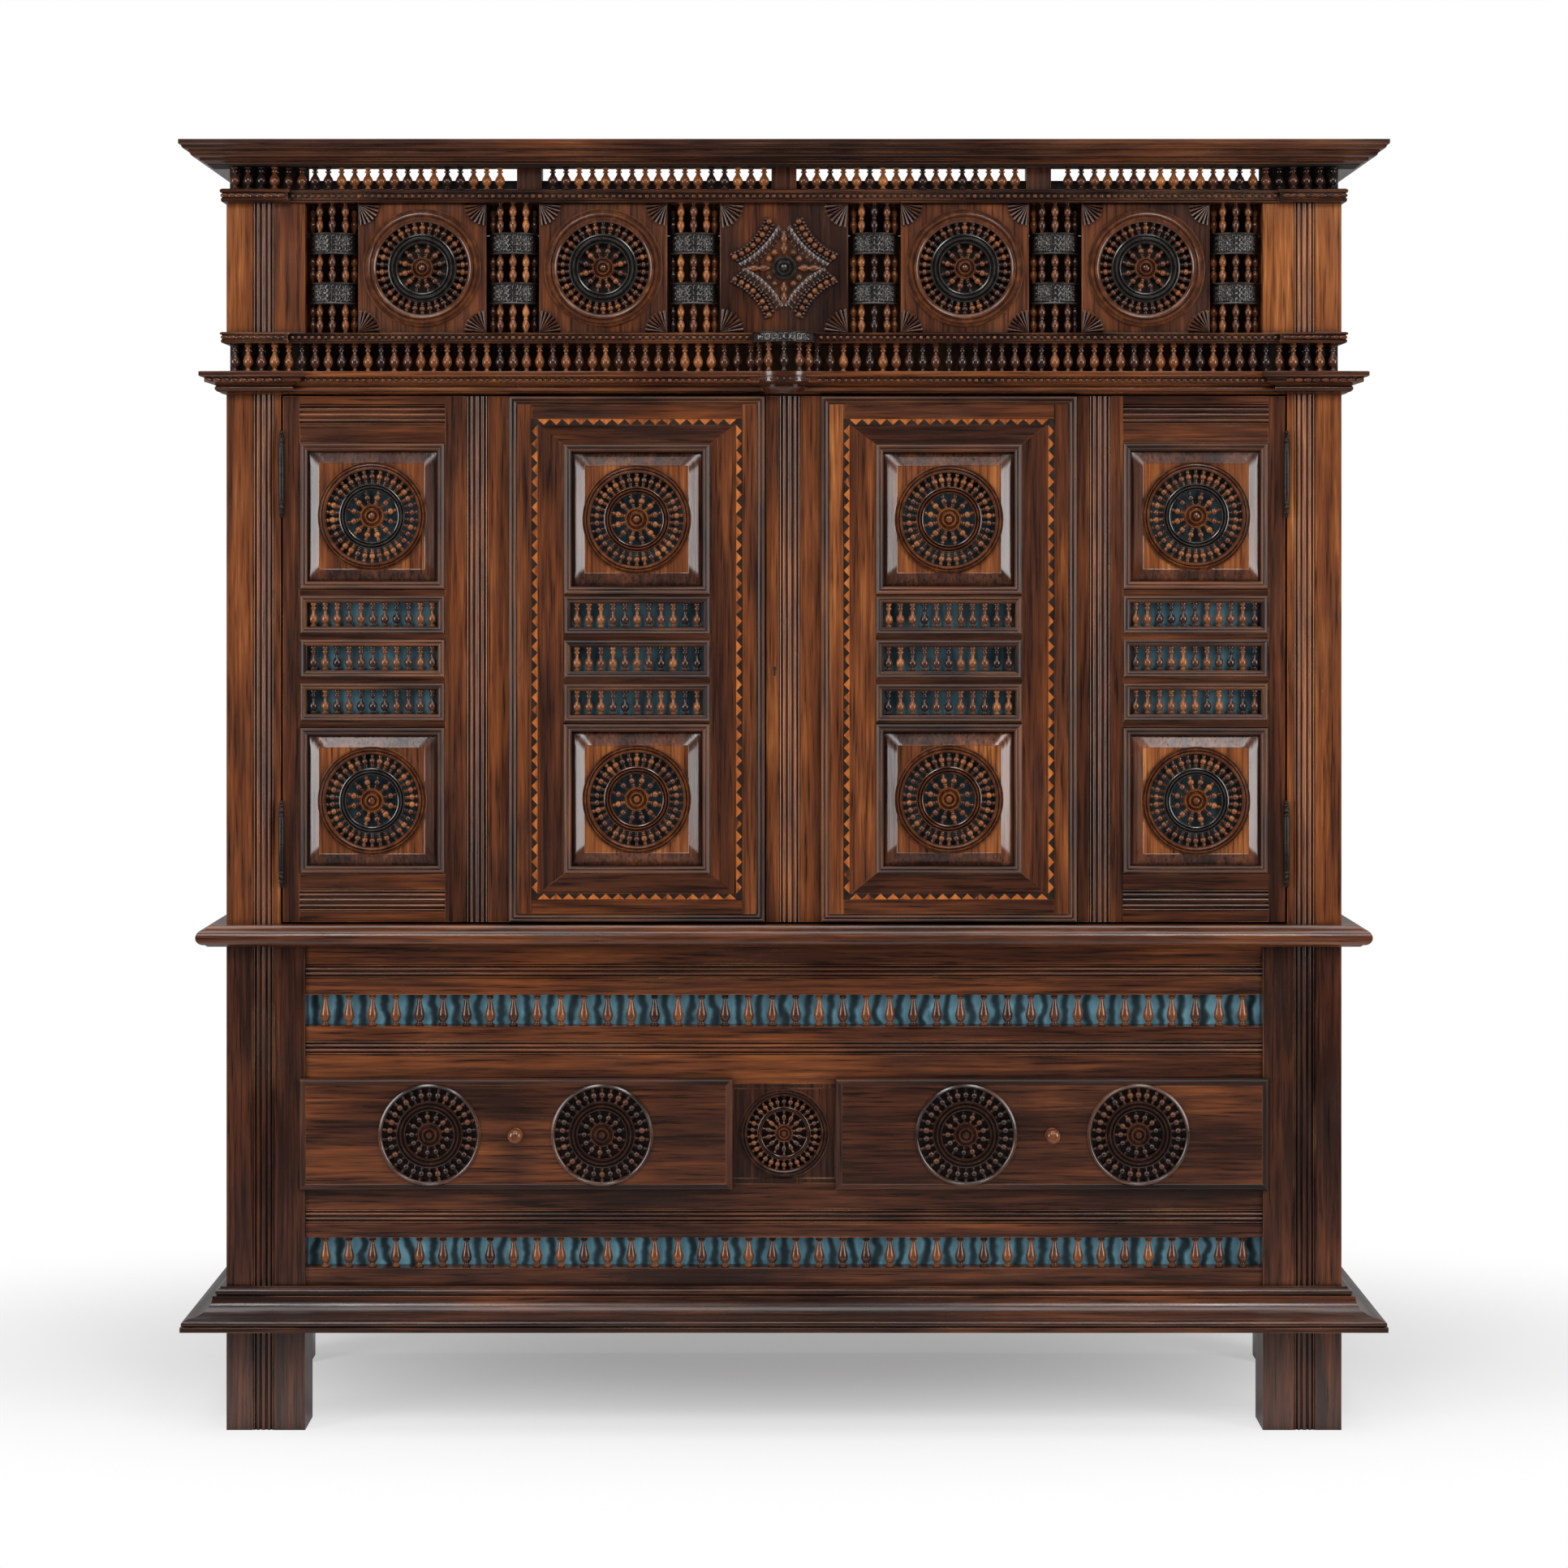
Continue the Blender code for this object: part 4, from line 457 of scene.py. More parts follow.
def piece(name, form, *nodes, body="carcase", slot="dark_oak"):
    """Make a form into an object that rides a body and stands for some nodes of the frame."""
    mesh = bpy.data.meshes.new(name)
    mesh.from_pydata(np.concatenate(form.points).tolist(), [], form.faces)
    used = sorted(set(form.finish))
    for key in used:
        mesh.materials.append(FINISHES[key])
    mesh.polygons.foreach_set("material_index", [used.index(key) for key in form.finish])
    for label, values in (("tone", form.tone), ("seed", form.seed)):
        attribute = mesh.attributes.new(label, "FLOAT", "POINT")
        attribute.data.foreach_set("value", np.concatenate(values).astype(np.float32))
    bm = bmesh.new()
    bm.from_mesh(mesh)
    bmesh.ops.recalc_face_normals(bm, faces=bm.faces)
    bm.to_mesh(mesh)
    bm.free()
    mesh.shade_smooth()
    mesh.set_sharp_from_angle(angle=SHARP)
    obj = link(name, mesh)
    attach(obj, body)
    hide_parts(*nodes)
    return obj


def lattice(rows, columns, close_rows=False, close_columns=True):
    """Quads between the points of a grid, row by row."""
    faces = []
    for i in range(rows if close_rows else rows - 1):
        k = (i + 1) % rows
        for j in range(columns if close_columns else columns - 1):
            m = (j + 1) % columns
            faces.append((i * columns + j, i * columns + m, k * columns + m, k * columns + j))
    return faces


def capped(rows, columns):
    """The quads of a tube and its two ends."""
    last = (rows - 1) * columns
    return lattice(rows, columns) + [tuple(range(columns)), tuple(range(last, last + columns))]


def lathe(profile, sides=SPINDLE_SIDES, closed=False):
    """Points and faces of a turned shape round +Z from its (radius, height) steps."""
    profile = np.asarray(profile, float)
    turns = np.arange(sides) * (2 * math.pi / sides)
    radius, height = profile[:, :1], profile[:, 1:]
    points = np.stack([radius * np.cos(turns), radius * np.sin(turns), height + 0 * turns], -1)
    rows = len(profile)
    return points.reshape(-1, 3), lattice(rows, sides, True) if closed else capped(rows, sides)


def scaled(form, radius, height):
    """An outline at its real size."""
    return [(radius * a, height * b) for a, b in form]


def ball(radius, length, sides=8):
    """A turned bead."""
    return lathe(scaled(BALL_FORM, radius, length), sides)


def stand(form, shape, foot, direction=(0, 0, 1), finish="turned", tone=0.0):
    """Put a turned shape on its foot, pointing a given way."""
    points, faces = shape
    turn = np.array(Vector(direction).normalized().to_track_quat("Z", "Y").to_matrix())
    form.add(points @ turn.T + np.asarray(foot), faces, finish, tone)


def prism(form, near, far, finish, tone=0.0):
    """A closed bar between two matched outlines."""
    form.add(list(near) + list(far), capped(2, len(near)), finish, tone)


def board(form, x, y, z, grain, tone=0.0, edge=0.0009, finish=None):
    """A board with eased edges along its grain, which is x, y or z."""
    spans = {"x": sorted(x), "y": sorted(y), "z": sorted(z)}
    first, second = [key for key in "xyz" if key != grain]
    (a0, a1), (b0, b1) = spans[first], spans[second]
    e = min(edge, (a1 - a0) / 4, (b1 - b0) / 4)
    outline = [(a0 + e, b0), (a1 - e, b0), (a1, b0 + e), (a1, b1 - e), (a1 - e, b1), (a0 + e, b1),
               (a0, b1 - e), (a0, b0 + e)]
    ends = [[[{first: a, second: b, grain: level}[key] for key in "xyz"] for a, b in outline]
            for level in spans[grain]]
    prism(form, *ends, finish or "oak_" + grain, tone)


REED_STEPS = 8
REED_DEPTH = 0.0042
REED_INSET = 0.042
THREE_REEDS = (0.0045, 0.0080, 0.0095, 0.0080, 0.0045)
THREE_WIDE = sum(THREE_REEDS)
TWO_REEDS = (0.0040, 0.0075, 0.0075, 0.0040)


def reed_line(start, widths):
    """(across, sunk) over a band of rounds of the given widths, cut just below the face."""
    line = [(start, 0.0)]
    place = start
    for width in widths:
        for step in range(REED_STEPS + 1):
            swell = math.sin(math.pi * step / REED_STEPS) ** 0.75
            line.append((place + width * (0.04 + 0.92 * step / REED_STEPS), REED_DEPTH * (1 - swell)))
        place += width
    return line + [(place, 0.0)]


def reeded_board(form, span, face, back, length, grain, bands, widths=THREE_REEDS, tone=0.0):
    """A board along x or z whose face carries bands of reeds, each starting at a place across the board."""
    low, high = sorted(span)
    line = [(low, 0.0)]
    for start in bands:
        line += reed_line(start, widths)
    line += [(high, 0.0), (high, back - face), (low, back - face)]
    ends = [[(a, face + b, level) if grain == "z" else (level, face + b, a) for a, b in line]
            for level in length]
    prism(form, *ends, "oak_" + grain, tone)


def mitres(path):
    """The outward step at each corner of a path for a moulding that stands out by one."""
    steps = []
    for i in range(len(path)):
        normals = []
        for a, b in ((i - 1, i), (i, i + 1)):
            if a >= 0 and b < len(path):
                dx, dy = path[b][0] - path[a][0], path[b][1] - path[a][1]
                length = math.hypot(dx, dy)
                normals.append((dy / length, -dx / length))
        nx, ny = map(sum, zip(*normals))
        reach = (nx * nx + ny * ny) / len(normals)
        steps.append((nx / reach, ny / reach))
    return steps


def moulding(form, path, inner, profile, base, tone=0.0, lift=0.0):
    """A moulding mitred round a path, each run with its own grain; lift lightens the front run."""
    rings = []
    for (x, y), (a, b), (u, v) in zip(path, mitres(path), inner):
        ring = [(x + a * out, y + b * out, base + up) for out, up in profile]
        rings.append(ring + [(u, v, base + profile[-1][1]), (u, v, base + profile[0][1])])
    for i in range(len(path) - 1):
        across, away = abs(path[i + 1][0] - path[i][0]), abs(path[i + 1][1] - path[i][1])
        run_tone = tone + (lift if across > HALF else 0.0)
        prism(form, rings[i], rings[i + 1], "oak_x" if across > away else "oak_y", run_tone)


def arc(centre, radius, start, end, steps):
    """Points on an arc, in degrees."""
    turns = [math.radians(start + (end - start) * i / steps) for i in range(steps + 1)]
    return [(centre[0] + radius * math.cos(t), centre[1] + radius * math.sin(t)) for t in turns]


def quarter(step):
    """Angles of a quarter turn."""
    return [math.radians(turn) for turn in range(0, 91, step)]


def both_sides(left):
    """A path round the front from its left half."""
    return left + [(-a, b) for a, b in reversed(left)]


def three_sides(half, front, back):
    """Left side, front and right side of a box."""
    return both_sides([(-half, back), (-half, front)])


def broken_inner(half):
    """The inner line that matches BROKEN_PATH."""
    return both_sides([(-half, BACK), (-half, HEADER_BACK), (-CORNER_STEP - CORNER_PROUD, HEADER_BACK),
                       (-CORNER_STEP + CORNER_PROUD, HEADER_BACK)])


PLAIN_PATH = three_sides(HALF, FRONT, BACK)
BROKEN_PATH = both_sides([(-HALF, BACK), (-HALF, FRONT - CORNER_PROUD), (-CORNER_STEP, FRONT - CORNER_PROUD),
                          (-CORNER_STEP, FRONT)])


def mirrored(side, *places):
    """Places on one side, in rising order."""
    return sorted(side * place for place in places)


def inset(span, by):
    """A span drawn in at both ends."""
    return span[0] + by, span[1] - by


def about(middle, half):
    """A span round its middle."""
    return middle - half, middle + half


def corners(x, z):
    """The corners of a rectangle in turn."""
    return [(x[0], z[0]), (x[1], z[0]), (x[1], z[1]), (x[0], z[1])]


def spaced(start, end, count):
    """Middles of equal steps between two places."""
    step = (end - start) / count
    return [start + step * (i + 0.5) for i in range(count)]


def around(rectangle, half_width, half_height):
    """Points round a rectangle or circle, matched angle for angle, with the corners among them."""
    turns = math.pi / 4 + 2 * math.pi * np.arange(ROUND) / ROUND
    a, b = np.cos(turns), np.sin(turns)
    if rectangle:
        stretch = np.maximum(abs(a), abs(b))
        a, b = a / stretch, b / stretch
    return half_width * a, half_height * b


def frame_loop(form, x, z, profile, tone, finish=("dull_x", "dull_z")):
    """A mitred frame round a rectangle: profile is a closed loop of (inset, y)."""
    loops = [[(a, y, b) for a, b in corners(inset(x, by), inset(z, by))] for by, y in profile]
    rings = list(zip(*loops))
    for n in range(4):
        prism(form, rings[n], rings[(n + 1) % 4], finish[n % 2], tone + rng.uniform(-0.05, 0.05))


# Wheels

ROUND = 64
TENON = 0.001
SPOKE_SINK = 0.0035
RING_SINK = 0.006
# Largest radius of a spoke as a share of the opening
SPOKE_GIRTH = 0.0052 / 0.075
RIM_BEADS = (
    (1.0, 0.0), (0.97, 0.55), (0.90, 0.80), (0.83, 0.50), (0.76, 0.50), (0.68, 0.95), (0.58, 1.0),
    (0.48, 0.60), (0.42, 0.45), (0.34, 0.95), (0.22, 1.0), (0.10, 0.70), (0.0, 0.30),
)
RING_BEADS = (
    (0.0, 0.0), (0.0, 0.55), (0.08, 0.85), (0.18, 0.90), (0.26, 0.55), (0.34, 0.55), (0.42, 1.0),
    (0.58, 1.0), (0.66, 0.55), (0.74, 0.55), (0.82, 0.90), (0.92, 0.85), (1.0, 0.55), (1.0, 0.0),
)
HUB_STEPS = (
    (1.0, 0.0), (1.0, 0.55), (0.93, 0.85), (0.84, 0.85), (0.76, 0.50), (0.66, 0.50), (0.58, 1.0),
    (0.46, 1.0), (0.38, 0.65), (0.30, 0.65), (0.24, 1.15), (0.10, 1.25), (0.01, 1.25),
)
# Radii of opening, ring outside, ring inside and hub; outer and inner spokes; depth of ring and hub;
# darkest and lightest tone; outline of a spoke
WHEELS = {
    "block": ((0.059, 0.043, 0.036, 0.015), (30, 14), 0.0075, (-0.10, 0.16), PIN_FORM),
    "drawer": ((0.074, 0.054, 0.038, 0.0200), (30, 13), 0.0090, (-0.26, 0.06), PIN_FORM),
    "frieze": ((0.074, 0.0556, 0.039, 0.018), (34, 12), 0.0100, (-0.14, 0.25), SPOKE_FORM),
    "door": ((0.0745, 0.053, 0.041, 0.0195), (34, 12), 0.0100, (-0.05, 0.32), SPOKE_FORM),
}
# Width and height of the rim; tones of the border steps and, last, of the rim
PLATES = {
    "block": (0.012, 0.004, (-0.12, -0.12, -0.12, -0.10, -0.14)),
    "frieze": (0.021, 0.005, (-0.02, 0.0, 0.04, 0.04)),
    "door": (0.0125, 0.0048, (-0.08, -0.02, 0.05, 0.27, 0.05)),
}


def wheel(form, kind, x, z, face, ring_finish="turned"):
    """Spokes, middle ring and hub of a wheel."""
    (opening, outside, inside, hub), counts, depth, (low, high), spoke = WHEELS[kind]
    for start, end, count, girth in ((outside, opening, counts[0], 0.43), (hub, inside, counts[1], 0.33)):
        radius = min(girth * math.pi * (start + end) / count, SPOKE_GIRTH * opening)
        shape = lathe(scaled(spoke, radius, end - start + 2 * TENON), 10)
        for i in range(count):
            turn = 2 * math.pi * (i + 0.5) / count
            way = (math.cos(turn), 0.0, math.sin(turn))
            foot = (x + way[0] * (start - TENON), face + SPOKE_SINK, z + way[2] * (start - TENON))
            stand(form, shape, foot, way, tone=rng.uniform(low, high))
    middle = (x, face + RING_SINK, z)
    ring = lathe([(inside + (outside - inside) * a, depth * b) for a, b in RING_BEADS], ROUND, True)
    stand(form, ring, middle, OUTWARD, ring_finish, low + 0.06)
    stand(form, lathe(scaled(HUB_STEPS, hub, depth), HUB_SIDES), middle, OUTWARD, tone=(low + high) / 2)


def wheel_plate(form, kind, x, z, size, back, border, face):
    """A panel pierced for its wheel, with a rim; border is (inset, y) steps."""
    width, height, tones = PLATES[kind]
    opening = WHEELS[kind][0][0]
    half_width, half_height = size[0] / 2 - GAP, size[1] / 2 - GAP
    hole = opening + 0.0035
    border = border + [(border[-1][0] + 0.0012, face)]
    steps = [(True, half_width - by, half_height - by, y) for by, y in border]
    steps += [(False, hole, hole, face), (False, hole, hole, back)]
    shades = [*tones[:-1], tones[-2], tones[-2], tones[-1]]
    rows = []
    for rectangle, a, b, y in steps:
        across, up = around(rectangle, a, b)
        rows.append(np.stack([x + across, np.full(ROUND, y), z + up], -1))
    form.add(np.concatenate(rows), lattice(len(rows), ROUND, True), "oak_z", np.repeat(shades, ROUND))
    loop = [(opening + width, -0.0040)] + [(opening + width * a, height * b) for a, b in RIM_BEADS]
    ring = lathe(loop + [(opening, face - back + 0.001)], ROUND, True)
    stand(form, ring, (x, face, z), OUTWARD, tone=tones[-1])


# Chest

def chest():
    """Posts, rails, galleries, base and centre block of the lower stage."""
    for word, side in SIDES.items():
        form = Form()
        start = HALF - REED_INSET - THREE_WIDE
        band = start if side > 0 else -start - THREE_WIDE
        reeded_board(form, mirrored(side, HALF, POST_INNER), FRONT, POST_BACK, (0.0, WAIST_BASE - GAP), "z",
                     [band], tone=-0.10)
        piece(f"chest_post_{word}_reeded", form, f"chest_post_{word}")
    for name, low, high, reeds, tone, gallery_top in (
        ("chest_bottom_rail", FOOT_TOP, BOTTOM_RAIL_TOP, [], -0.07, LOWER_RAIL_BASE),
        ("chest_lower_rail", LOWER_RAIL_BASE, DRAWER_BASE, [LOWER_RAIL_BASE + 0.022], -0.07, None),
        ("chest_middle_rail", DRAWER_TOP, MIDDLE_RAIL_TOP, [MIDDLE_RAIL_TOP - 0.046], 0.06, TOP_RAIL_BASE),
        ("chest_top_rail", TOP_RAIL_BASE, WAIST_BASE - GAP, [TOP_RAIL_BASE + 0.026], 0.08, None),
    ):
        form = Form()
        reeded_board(form, (low, high), RAIL_FACE, RAIL_BACK, about(0.0, POST_INNER - GAP), "x", reeds,
                     TWO_REEDS, tone)
        if gallery_top:
            shape = lathe(scaled(BALUSTER_FORM, 0.0083, gallery_top - high + 0.001))
            for x in spaced(-BALUSTER_REACH, BALUSTER_REACH, BALUSTERS):
                stand(form, shape, (x, RAIL_FACE + 0.0092, high - 0.0005), tone=rng.uniform(-0.10, 0.24))
        piece(name + "_carved", form, name)
    base_moulding()
    waist()
    centre_block()


def base_moulding():
    """The wide ogee skirt."""
    reach = 0.064
    profile = [(reach, 0.0), (reach, 0.008), *arc((reach - 0.006, 0.0125), 0.0045, -90, 90, 6)]
    profile += [(reach - 0.009, 0.0185)]
    profile += [(0.0195 + 0.0345 * (1 - math.sin(t)), 0.0190 + 0.0270 * (1 - math.cos(t))) for t in quarter(10)]
    profile += [(0.0195, 0.0485), (0.0165, 0.0485), *arc((0.0105, 0.0535), 0.0050, -60, 90, 5)]
    profile += [(0.0085, 0.0590), (0.0085, 0.062)]
    form = Form()
    moulding(form, PLAIN_PATH, PLAIN_PATH, profile, FOOT_TOP, -0.17)
    piece("base_moulding_run", form, "base_moulding")


def waist():
    """The shelf between the stages with its fillet and round nose."""
    reach, deep, back = 0.043, 0.075, BACK_FACE - GAP
    profile = [(0.026, 0.0), (0.030, 0.003), *arc((reach - 0.0125, 0.0155), 0.0125, -80, 90, 10)]
    profile += [(reach - 0.015, 0.0290), (reach - 0.018, WAIST_TOP - WAIST_BASE - GAP)]
    inner = HALF - deep
    form = Form()
    moulding(form, three_sides(HALF, FRONT, back), three_sides(inner, FRONT + deep, back), profile, WAIST_BASE,
             0.04)
    board(form, about(0.0, inner), (FRONT + deep, back), (WAIST_BASE, WAIST_TOP - GAP), "x", -0.06)
    piece("waist_shelf_nosed", form, "waist_shelf")


def centre_block():
    """The block between the drawers with its small wheel."""
    form = Form()
    sunk = RAIL_FACE + 0.0015
    border = [(0.0, RAIL_BACK), (0.0, RAIL_FACE), (0.008, RAIL_FACE), (0.009, sunk)]
    wheel_plate(form, "block", 0.0, DRAWER_LEVEL, (0.182, 0.161), RAIL_BACK, border, sunk)
    # A near-black board behind the wheel: painted shade.
    board(form, about(0.0, 0.075), (RAIL_BACK - 0.012, RAIL_BACK - 0.008), about(DRAWER_LEVEL, 0.07), "z",
          finish="shade")
    wheel(form, "block", 0.0, DRAWER_LEVEL, RAIL_FACE)
    piece("chest_centre_block", form, "chest_centre_panel")


DRAWER_ENDS = (0.082, 0.776)
DRAWER_HEIGHT = (0.385, 0.564)
DRAWER_EDGE = 0.011
DRAWER_LIP = FRONT - GAP
DRAWER_FIELD = DRAWER_FACE + 0.0012
PLUG_ENDS = (0.0925, 0.7655)
WHEEL_OFFSET = 0.138
# Tone gained towards +X over each half of a field
FIELD_LIFTS = {"left": (-0.14, 0.0), "right": (0.05, 0.04)}
# Radius, rise over the field and tone of the steps round a drawer's wheel; the sunk floor is toned darkest, as
# painted shade
DRAWER_RIM = (
    (0.0815, 0.0, -0.03), (0.0810, 0.003, -0.26), (0.0785, 0.0042, -0.26), (0.0760, 0.003, -0.26),
    (0.075, 0.001, -0.26), (0.075, -0.0085, -0.34), (0.004, -0.0085, -0.34),
)


def drawers():
    """Lipped fronts with two sunk wheels, and turned knobs."""
    nose = [(0.0, DRAWER_LIP), (0.0, DRAWER_FACE + 0.006)]
    nose += [(0.0045 - 0.0045 * math.cos(t), DRAWER_FACE + 0.006 - 0.006 * math.sin(t)) for t in quarter(18)[1:]]
    nose += [(DRAWER_EDGE - 0.002, DRAWER_FACE), (DRAWER_EDGE, DRAWER_FACE + 0.0016), (DRAWER_EDGE, DRAWER_LIP)]
    for word, side in SIDES.items():
        form = Form()
        middle = side * DRAWER_CENTRE
        x = mirrored(side, *DRAWER_ENDS)
        frame_loop(form, x, DRAWER_HEIGHT, nose, -0.14)
        low, high = inset(x, DRAWER_EDGE)
        places = about(middle, WHEEL_OFFSET)
        drawer_field(form, [low, middle, high], places, FIELD_LIFTS[word])
        for place in places:
            wheel(form, "drawer", place, DRAWER_LEVEL, DRAWER_FACE)
        board(form, mirrored(side, *PLUG_ENDS), (DRAWER_LIP, RAIL_FACE + 0.010),
              inset((DRAWER_BASE, DRAWER_TOP), 0.0015), "x", -0.30)
        piece(f"{word}_drawer_face", form, f"{word}_drawer_front", body=f"{word}_drawer")
        form = Form()
        foot = (middle, RAIL_FACE - 0.014 - 2 * GAP, DRAWER_LEVEL)
        stand(form, lathe(KNOB_COLLAR, HUB_SIDES), foot, OUTWARD, tone=0.12)
        stand(form, lathe(scaled(KNOB_FORM, 0.0116, 0.026), HUB_SIDES), foot, OUTWARD, tone=0.16)
        piece(f"{word}_knob_turned", form, f"{word}_drawer_knob", body=f"{word}_drawer")


def drawer_field(form, spans, places, lifts):
    """A drawer front pierced for two wheels with thin raised rims."""
    points, faces, shade = [], [], []
    low_z, high_z = inset(DRAWER_HEIGHT, DRAWER_EDGE)
    for place, low, high, lift in zip(places, spans, spans[1:], lifts):
        a, b = around(True, 1.0, 1.0)
        across = np.where(a > 0, place + a * (high - place), place + a * (place - low))
        outline = (across, (low_z + high_z) / 2 + b * (high_z - low_z) / 2)
        rows = [(outline, DRAWER_LIP, np.full(ROUND, -0.16)),
                (outline, DRAWER_FIELD, -0.02 + 0.07 * b + lift * a)]
        for radius, rise, tone in DRAWER_RIM:
            a, b = around(False, radius, radius)
            rows.append(((place + a, DRAWER_LEVEL + b), DRAWER_FIELD - rise, np.full(ROUND, tone)))
        faces += shifted(capped(len(rows), ROUND), len(points))
        for (u, v), y, tone in rows:
            points += zip(u, np.full(ROUND, y), v)
            shade += tone.tolist()
    form.add(*welded(points, faces, shade))


def welded(points, faces, shade):
    """Join points that meet, and drop the faces between the halves."""
    places, index, kept = {}, [], []
    for i, point in enumerate(points):
        key = tuple(round(float(value), 6) for value in point)
        if key not in places:
            places[key] = len(places)
            kept.append(i)
        index.append(places[key])
    faces = [tuple(index[k] for k in face) for face in faces]
    keys = [frozenset(face) for face in faces]
    seen = {}
    for key in keys:
        seen[key] = seen.get(key, 0) + 1
    faces = [face for face, key in zip(faces, keys) if seen[key] == 1]
    return [points[i] for i in kept], faces, "oak_x", np.array([shade[i] for i in kept])


# Cabinet

def cabinet_posts():
    """Reeded posts, rebated for the doors and set back behind the lower gallery."""
    face = [(0.0, 0.0)] + reed_line(REED_INSET, THREE_REEDS)
    edge, stop = HALF - REBATE_EDGE, HALF - REBATE_STOP
    rebate, header, deep = REBATE_BACK - FRONT, HEADER_BACK - FRONT, POST_BACK - FRONT
    rebated = face + [(edge, 0.0), (edge, rebate), (stop, rebate), (stop, deep), (0.0, deep)]
    hidden = [(0.0, header), (POST_WIDTH, header), (POST_WIDTH, deep), (0.0, deep)]
    full = face + [(POST_WIDTH, 0.0), (POST_WIDTH, deep), (0.0, deep)]
    for word, side in SIDES.items():
        form = Form()
        for plan, low, high, finish, tone in (
            (rebated, WAIST_TOP, LOWER_CORNICE_BASE - GAP, "oak_z", 0.15),
            # The hidden part behind the hanging gallery is near-black: painted shade.
            (hidden, LOWER_CORNICE_BASE, FRIEZE_BASE, "shade", 0.0),
            (full, FRIEZE_BASE + GAP, FRIEZE_TOP - GAP, "oak_z", 0.31),
        ):
            ends = [[(side * (HALF - a), FRONT + b, level) for a, b in plan] for level in (low, high)]
            prism(form, *ends, finish, tone)
        piece(f"cabinet_post_{word}_reeded", form, f"cabinet_post_{word}")


PEARL_PITCH = 0.0108
PEARL_SINK = 0.002
BRACKET_CLEAR = 0.052


def pearls(form, level, reach, radius, keep_clear=0.0, tone=0.0):
    """A row of pearls round the front of a broken moulding, with longer reels at its corners."""
    pearl = ball(radius, radius)
    for x in spaced(-CORNER_STEP + reach, CORNER_STEP - reach, round(2 * CORNER_STEP / PEARL_PITCH)):
        if abs(x) > keep_clear:
            stand(form, pearl, (x, FRONT - reach, level), (1, 0, 0), tone=tone + rng.uniform(-0.08, 0.12))
    reel = ball(radius, radius * 1.9)
    for side in SIDES.values():
        for x in spaced(CORNER_STEP, HALF + reach, 9):
            stand(form, reel, (side * x, FRONT - CORNER_PROUD - reach, level), (1, 0, 0),
                  tone=tone + rng.uniform(-0.08, 0.12))


BEAD_REACH = 0.008
BEAD_STEPS = (0.003, 0.006, 0.0065, 0.005, 0.005, BEAD_REACH, BEAD_REACH, 0.005)


def bead_rail(form, base, ups, half, tone):
    """A thin moulding with a groove for pearls, from the height of each step."""
    moulding(form, BROKEN_PATH, broken_inner(half), list(zip(BEAD_STEPS, ups)), base, tone)


BOW = 0.80


def half_ring(form, centre, front_y, radius, z, height, thick, tone, lines=3):
    """A bowed band carved with two groups of scales; its back is open to the spindles it binds."""
    axis = front_y + BOW * radius
    columns, rows, cells = 112, 26, 10
    turn, level = np.meshgrid(np.linspace(-math.pi / 2, math.pi / 2, columns), np.linspace(0.0, 1.0, rows))
    place = np.sin(turn)
    a = (place * 0.5 + 0.5) * cells % 1.0 - 0.5
    b = np.clip((level - 0.12) / 0.76, 0, 0.999) * lines % 1.0 - 0.5
    away = np.hypot(a * 1.15 + 0.12, b * 1.05)
    scale = np.exp(-((away - 0.40) / 0.13) ** 2) * (a < 0.30) + 0.6 * np.exp(-(away / 0.15) ** 2)
    groups = np.exp(-((abs(place) - 0.52) / 0.26) ** 4)
    lip = np.exp(-((level - 0.05) / 0.05) ** 2) + np.exp(-((level - 0.95) / 0.05) ** 2)
    inside = ((level > 0.12) & (level < 0.88)) * (0.35 + 0.65 * groups)
    out = radius - 0.0034 + 0.0032 * np.clip(scale * inside + lip, 0, 1)
    shells = [np.stack([centre + r * place, axis - BOW * r * np.cos(turn), z + height * level], -1).reshape(-1, 3)
              for r in (out, radius - thick)]
    faces = lattice(rows, columns, close_columns=False)
    count = rows * columns
    faces += shifted(faces, count)
    rim = list(range(columns)) + [(r + 1) * columns - 1 for r in range(1, rows)]
    rim += [count - 1 - i for i in range(1, columns)] + [r * columns for r in range(rows - 2, 0, -1)]
    for first, second in zip(rim, rim[1:] + rim[:1]):
        faces.append((first, second, count + second, count + first))
    # Scale ridges and lips are toned lighter and the hollows darker: painted highlight and painted shade.
    ridge_highlight = np.clip(scale * inside + 0.7 * lip, 0, 1)
    carved = tone - 0.16 + 0.62 * ridge_highlight * (0.45 + 0.55 * groups)
    form.add(np.concatenate(shells), faces, "slate", np.concatenate([carved.ravel(), np.full(count, tone)]))


def gallery_places():
    """(x, y) of the spindles of a gallery, with the corner ones proud."""
    main = FRONT + 0.0068
    places = spaced(-GALLERY_REACH, GALLERY_REACH, GALLERY_SPINDLES)
    return [(x, main - CORNER_PROUD if abs(x) > CORNER_STEP else main) for x in places]


def spindle_tone():
    """The tone of one spindle: most are mid brown, some near black, some worn orange."""
    return rng.choice((-0.22, -0.05, 0.05, 0.12, 0.20, 0.28)) + rng.uniform(-0.06, 0.06)


def corner_spindles(form, shape, end, y, low, tone):
    """Spindles that back each corner of a gallery; callers tone them dark, as painted shade."""
    for side in SIDES.values():
        for x in spaced(CORNER_STEP + 0.006, end, 4):
            stand(form, shape, (side * x, y, low), tone=tone)


BRACKET_AXIS = FRONT - 0.002
CORBEL_RADIUS = 0.050
# Share of the radius and level of the corbel's steps
CORBEL_STEPS = (
    (0.60, 0.0007), (0.66, 0.004), (0.74, 0.007), (0.78, 0.0105), (0.76, 0.013), (0.90, 0.0155),
    (0.98, 0.019), (0.98, 0.026), (1.0, 0.028), (1.0, 0.0347),
)


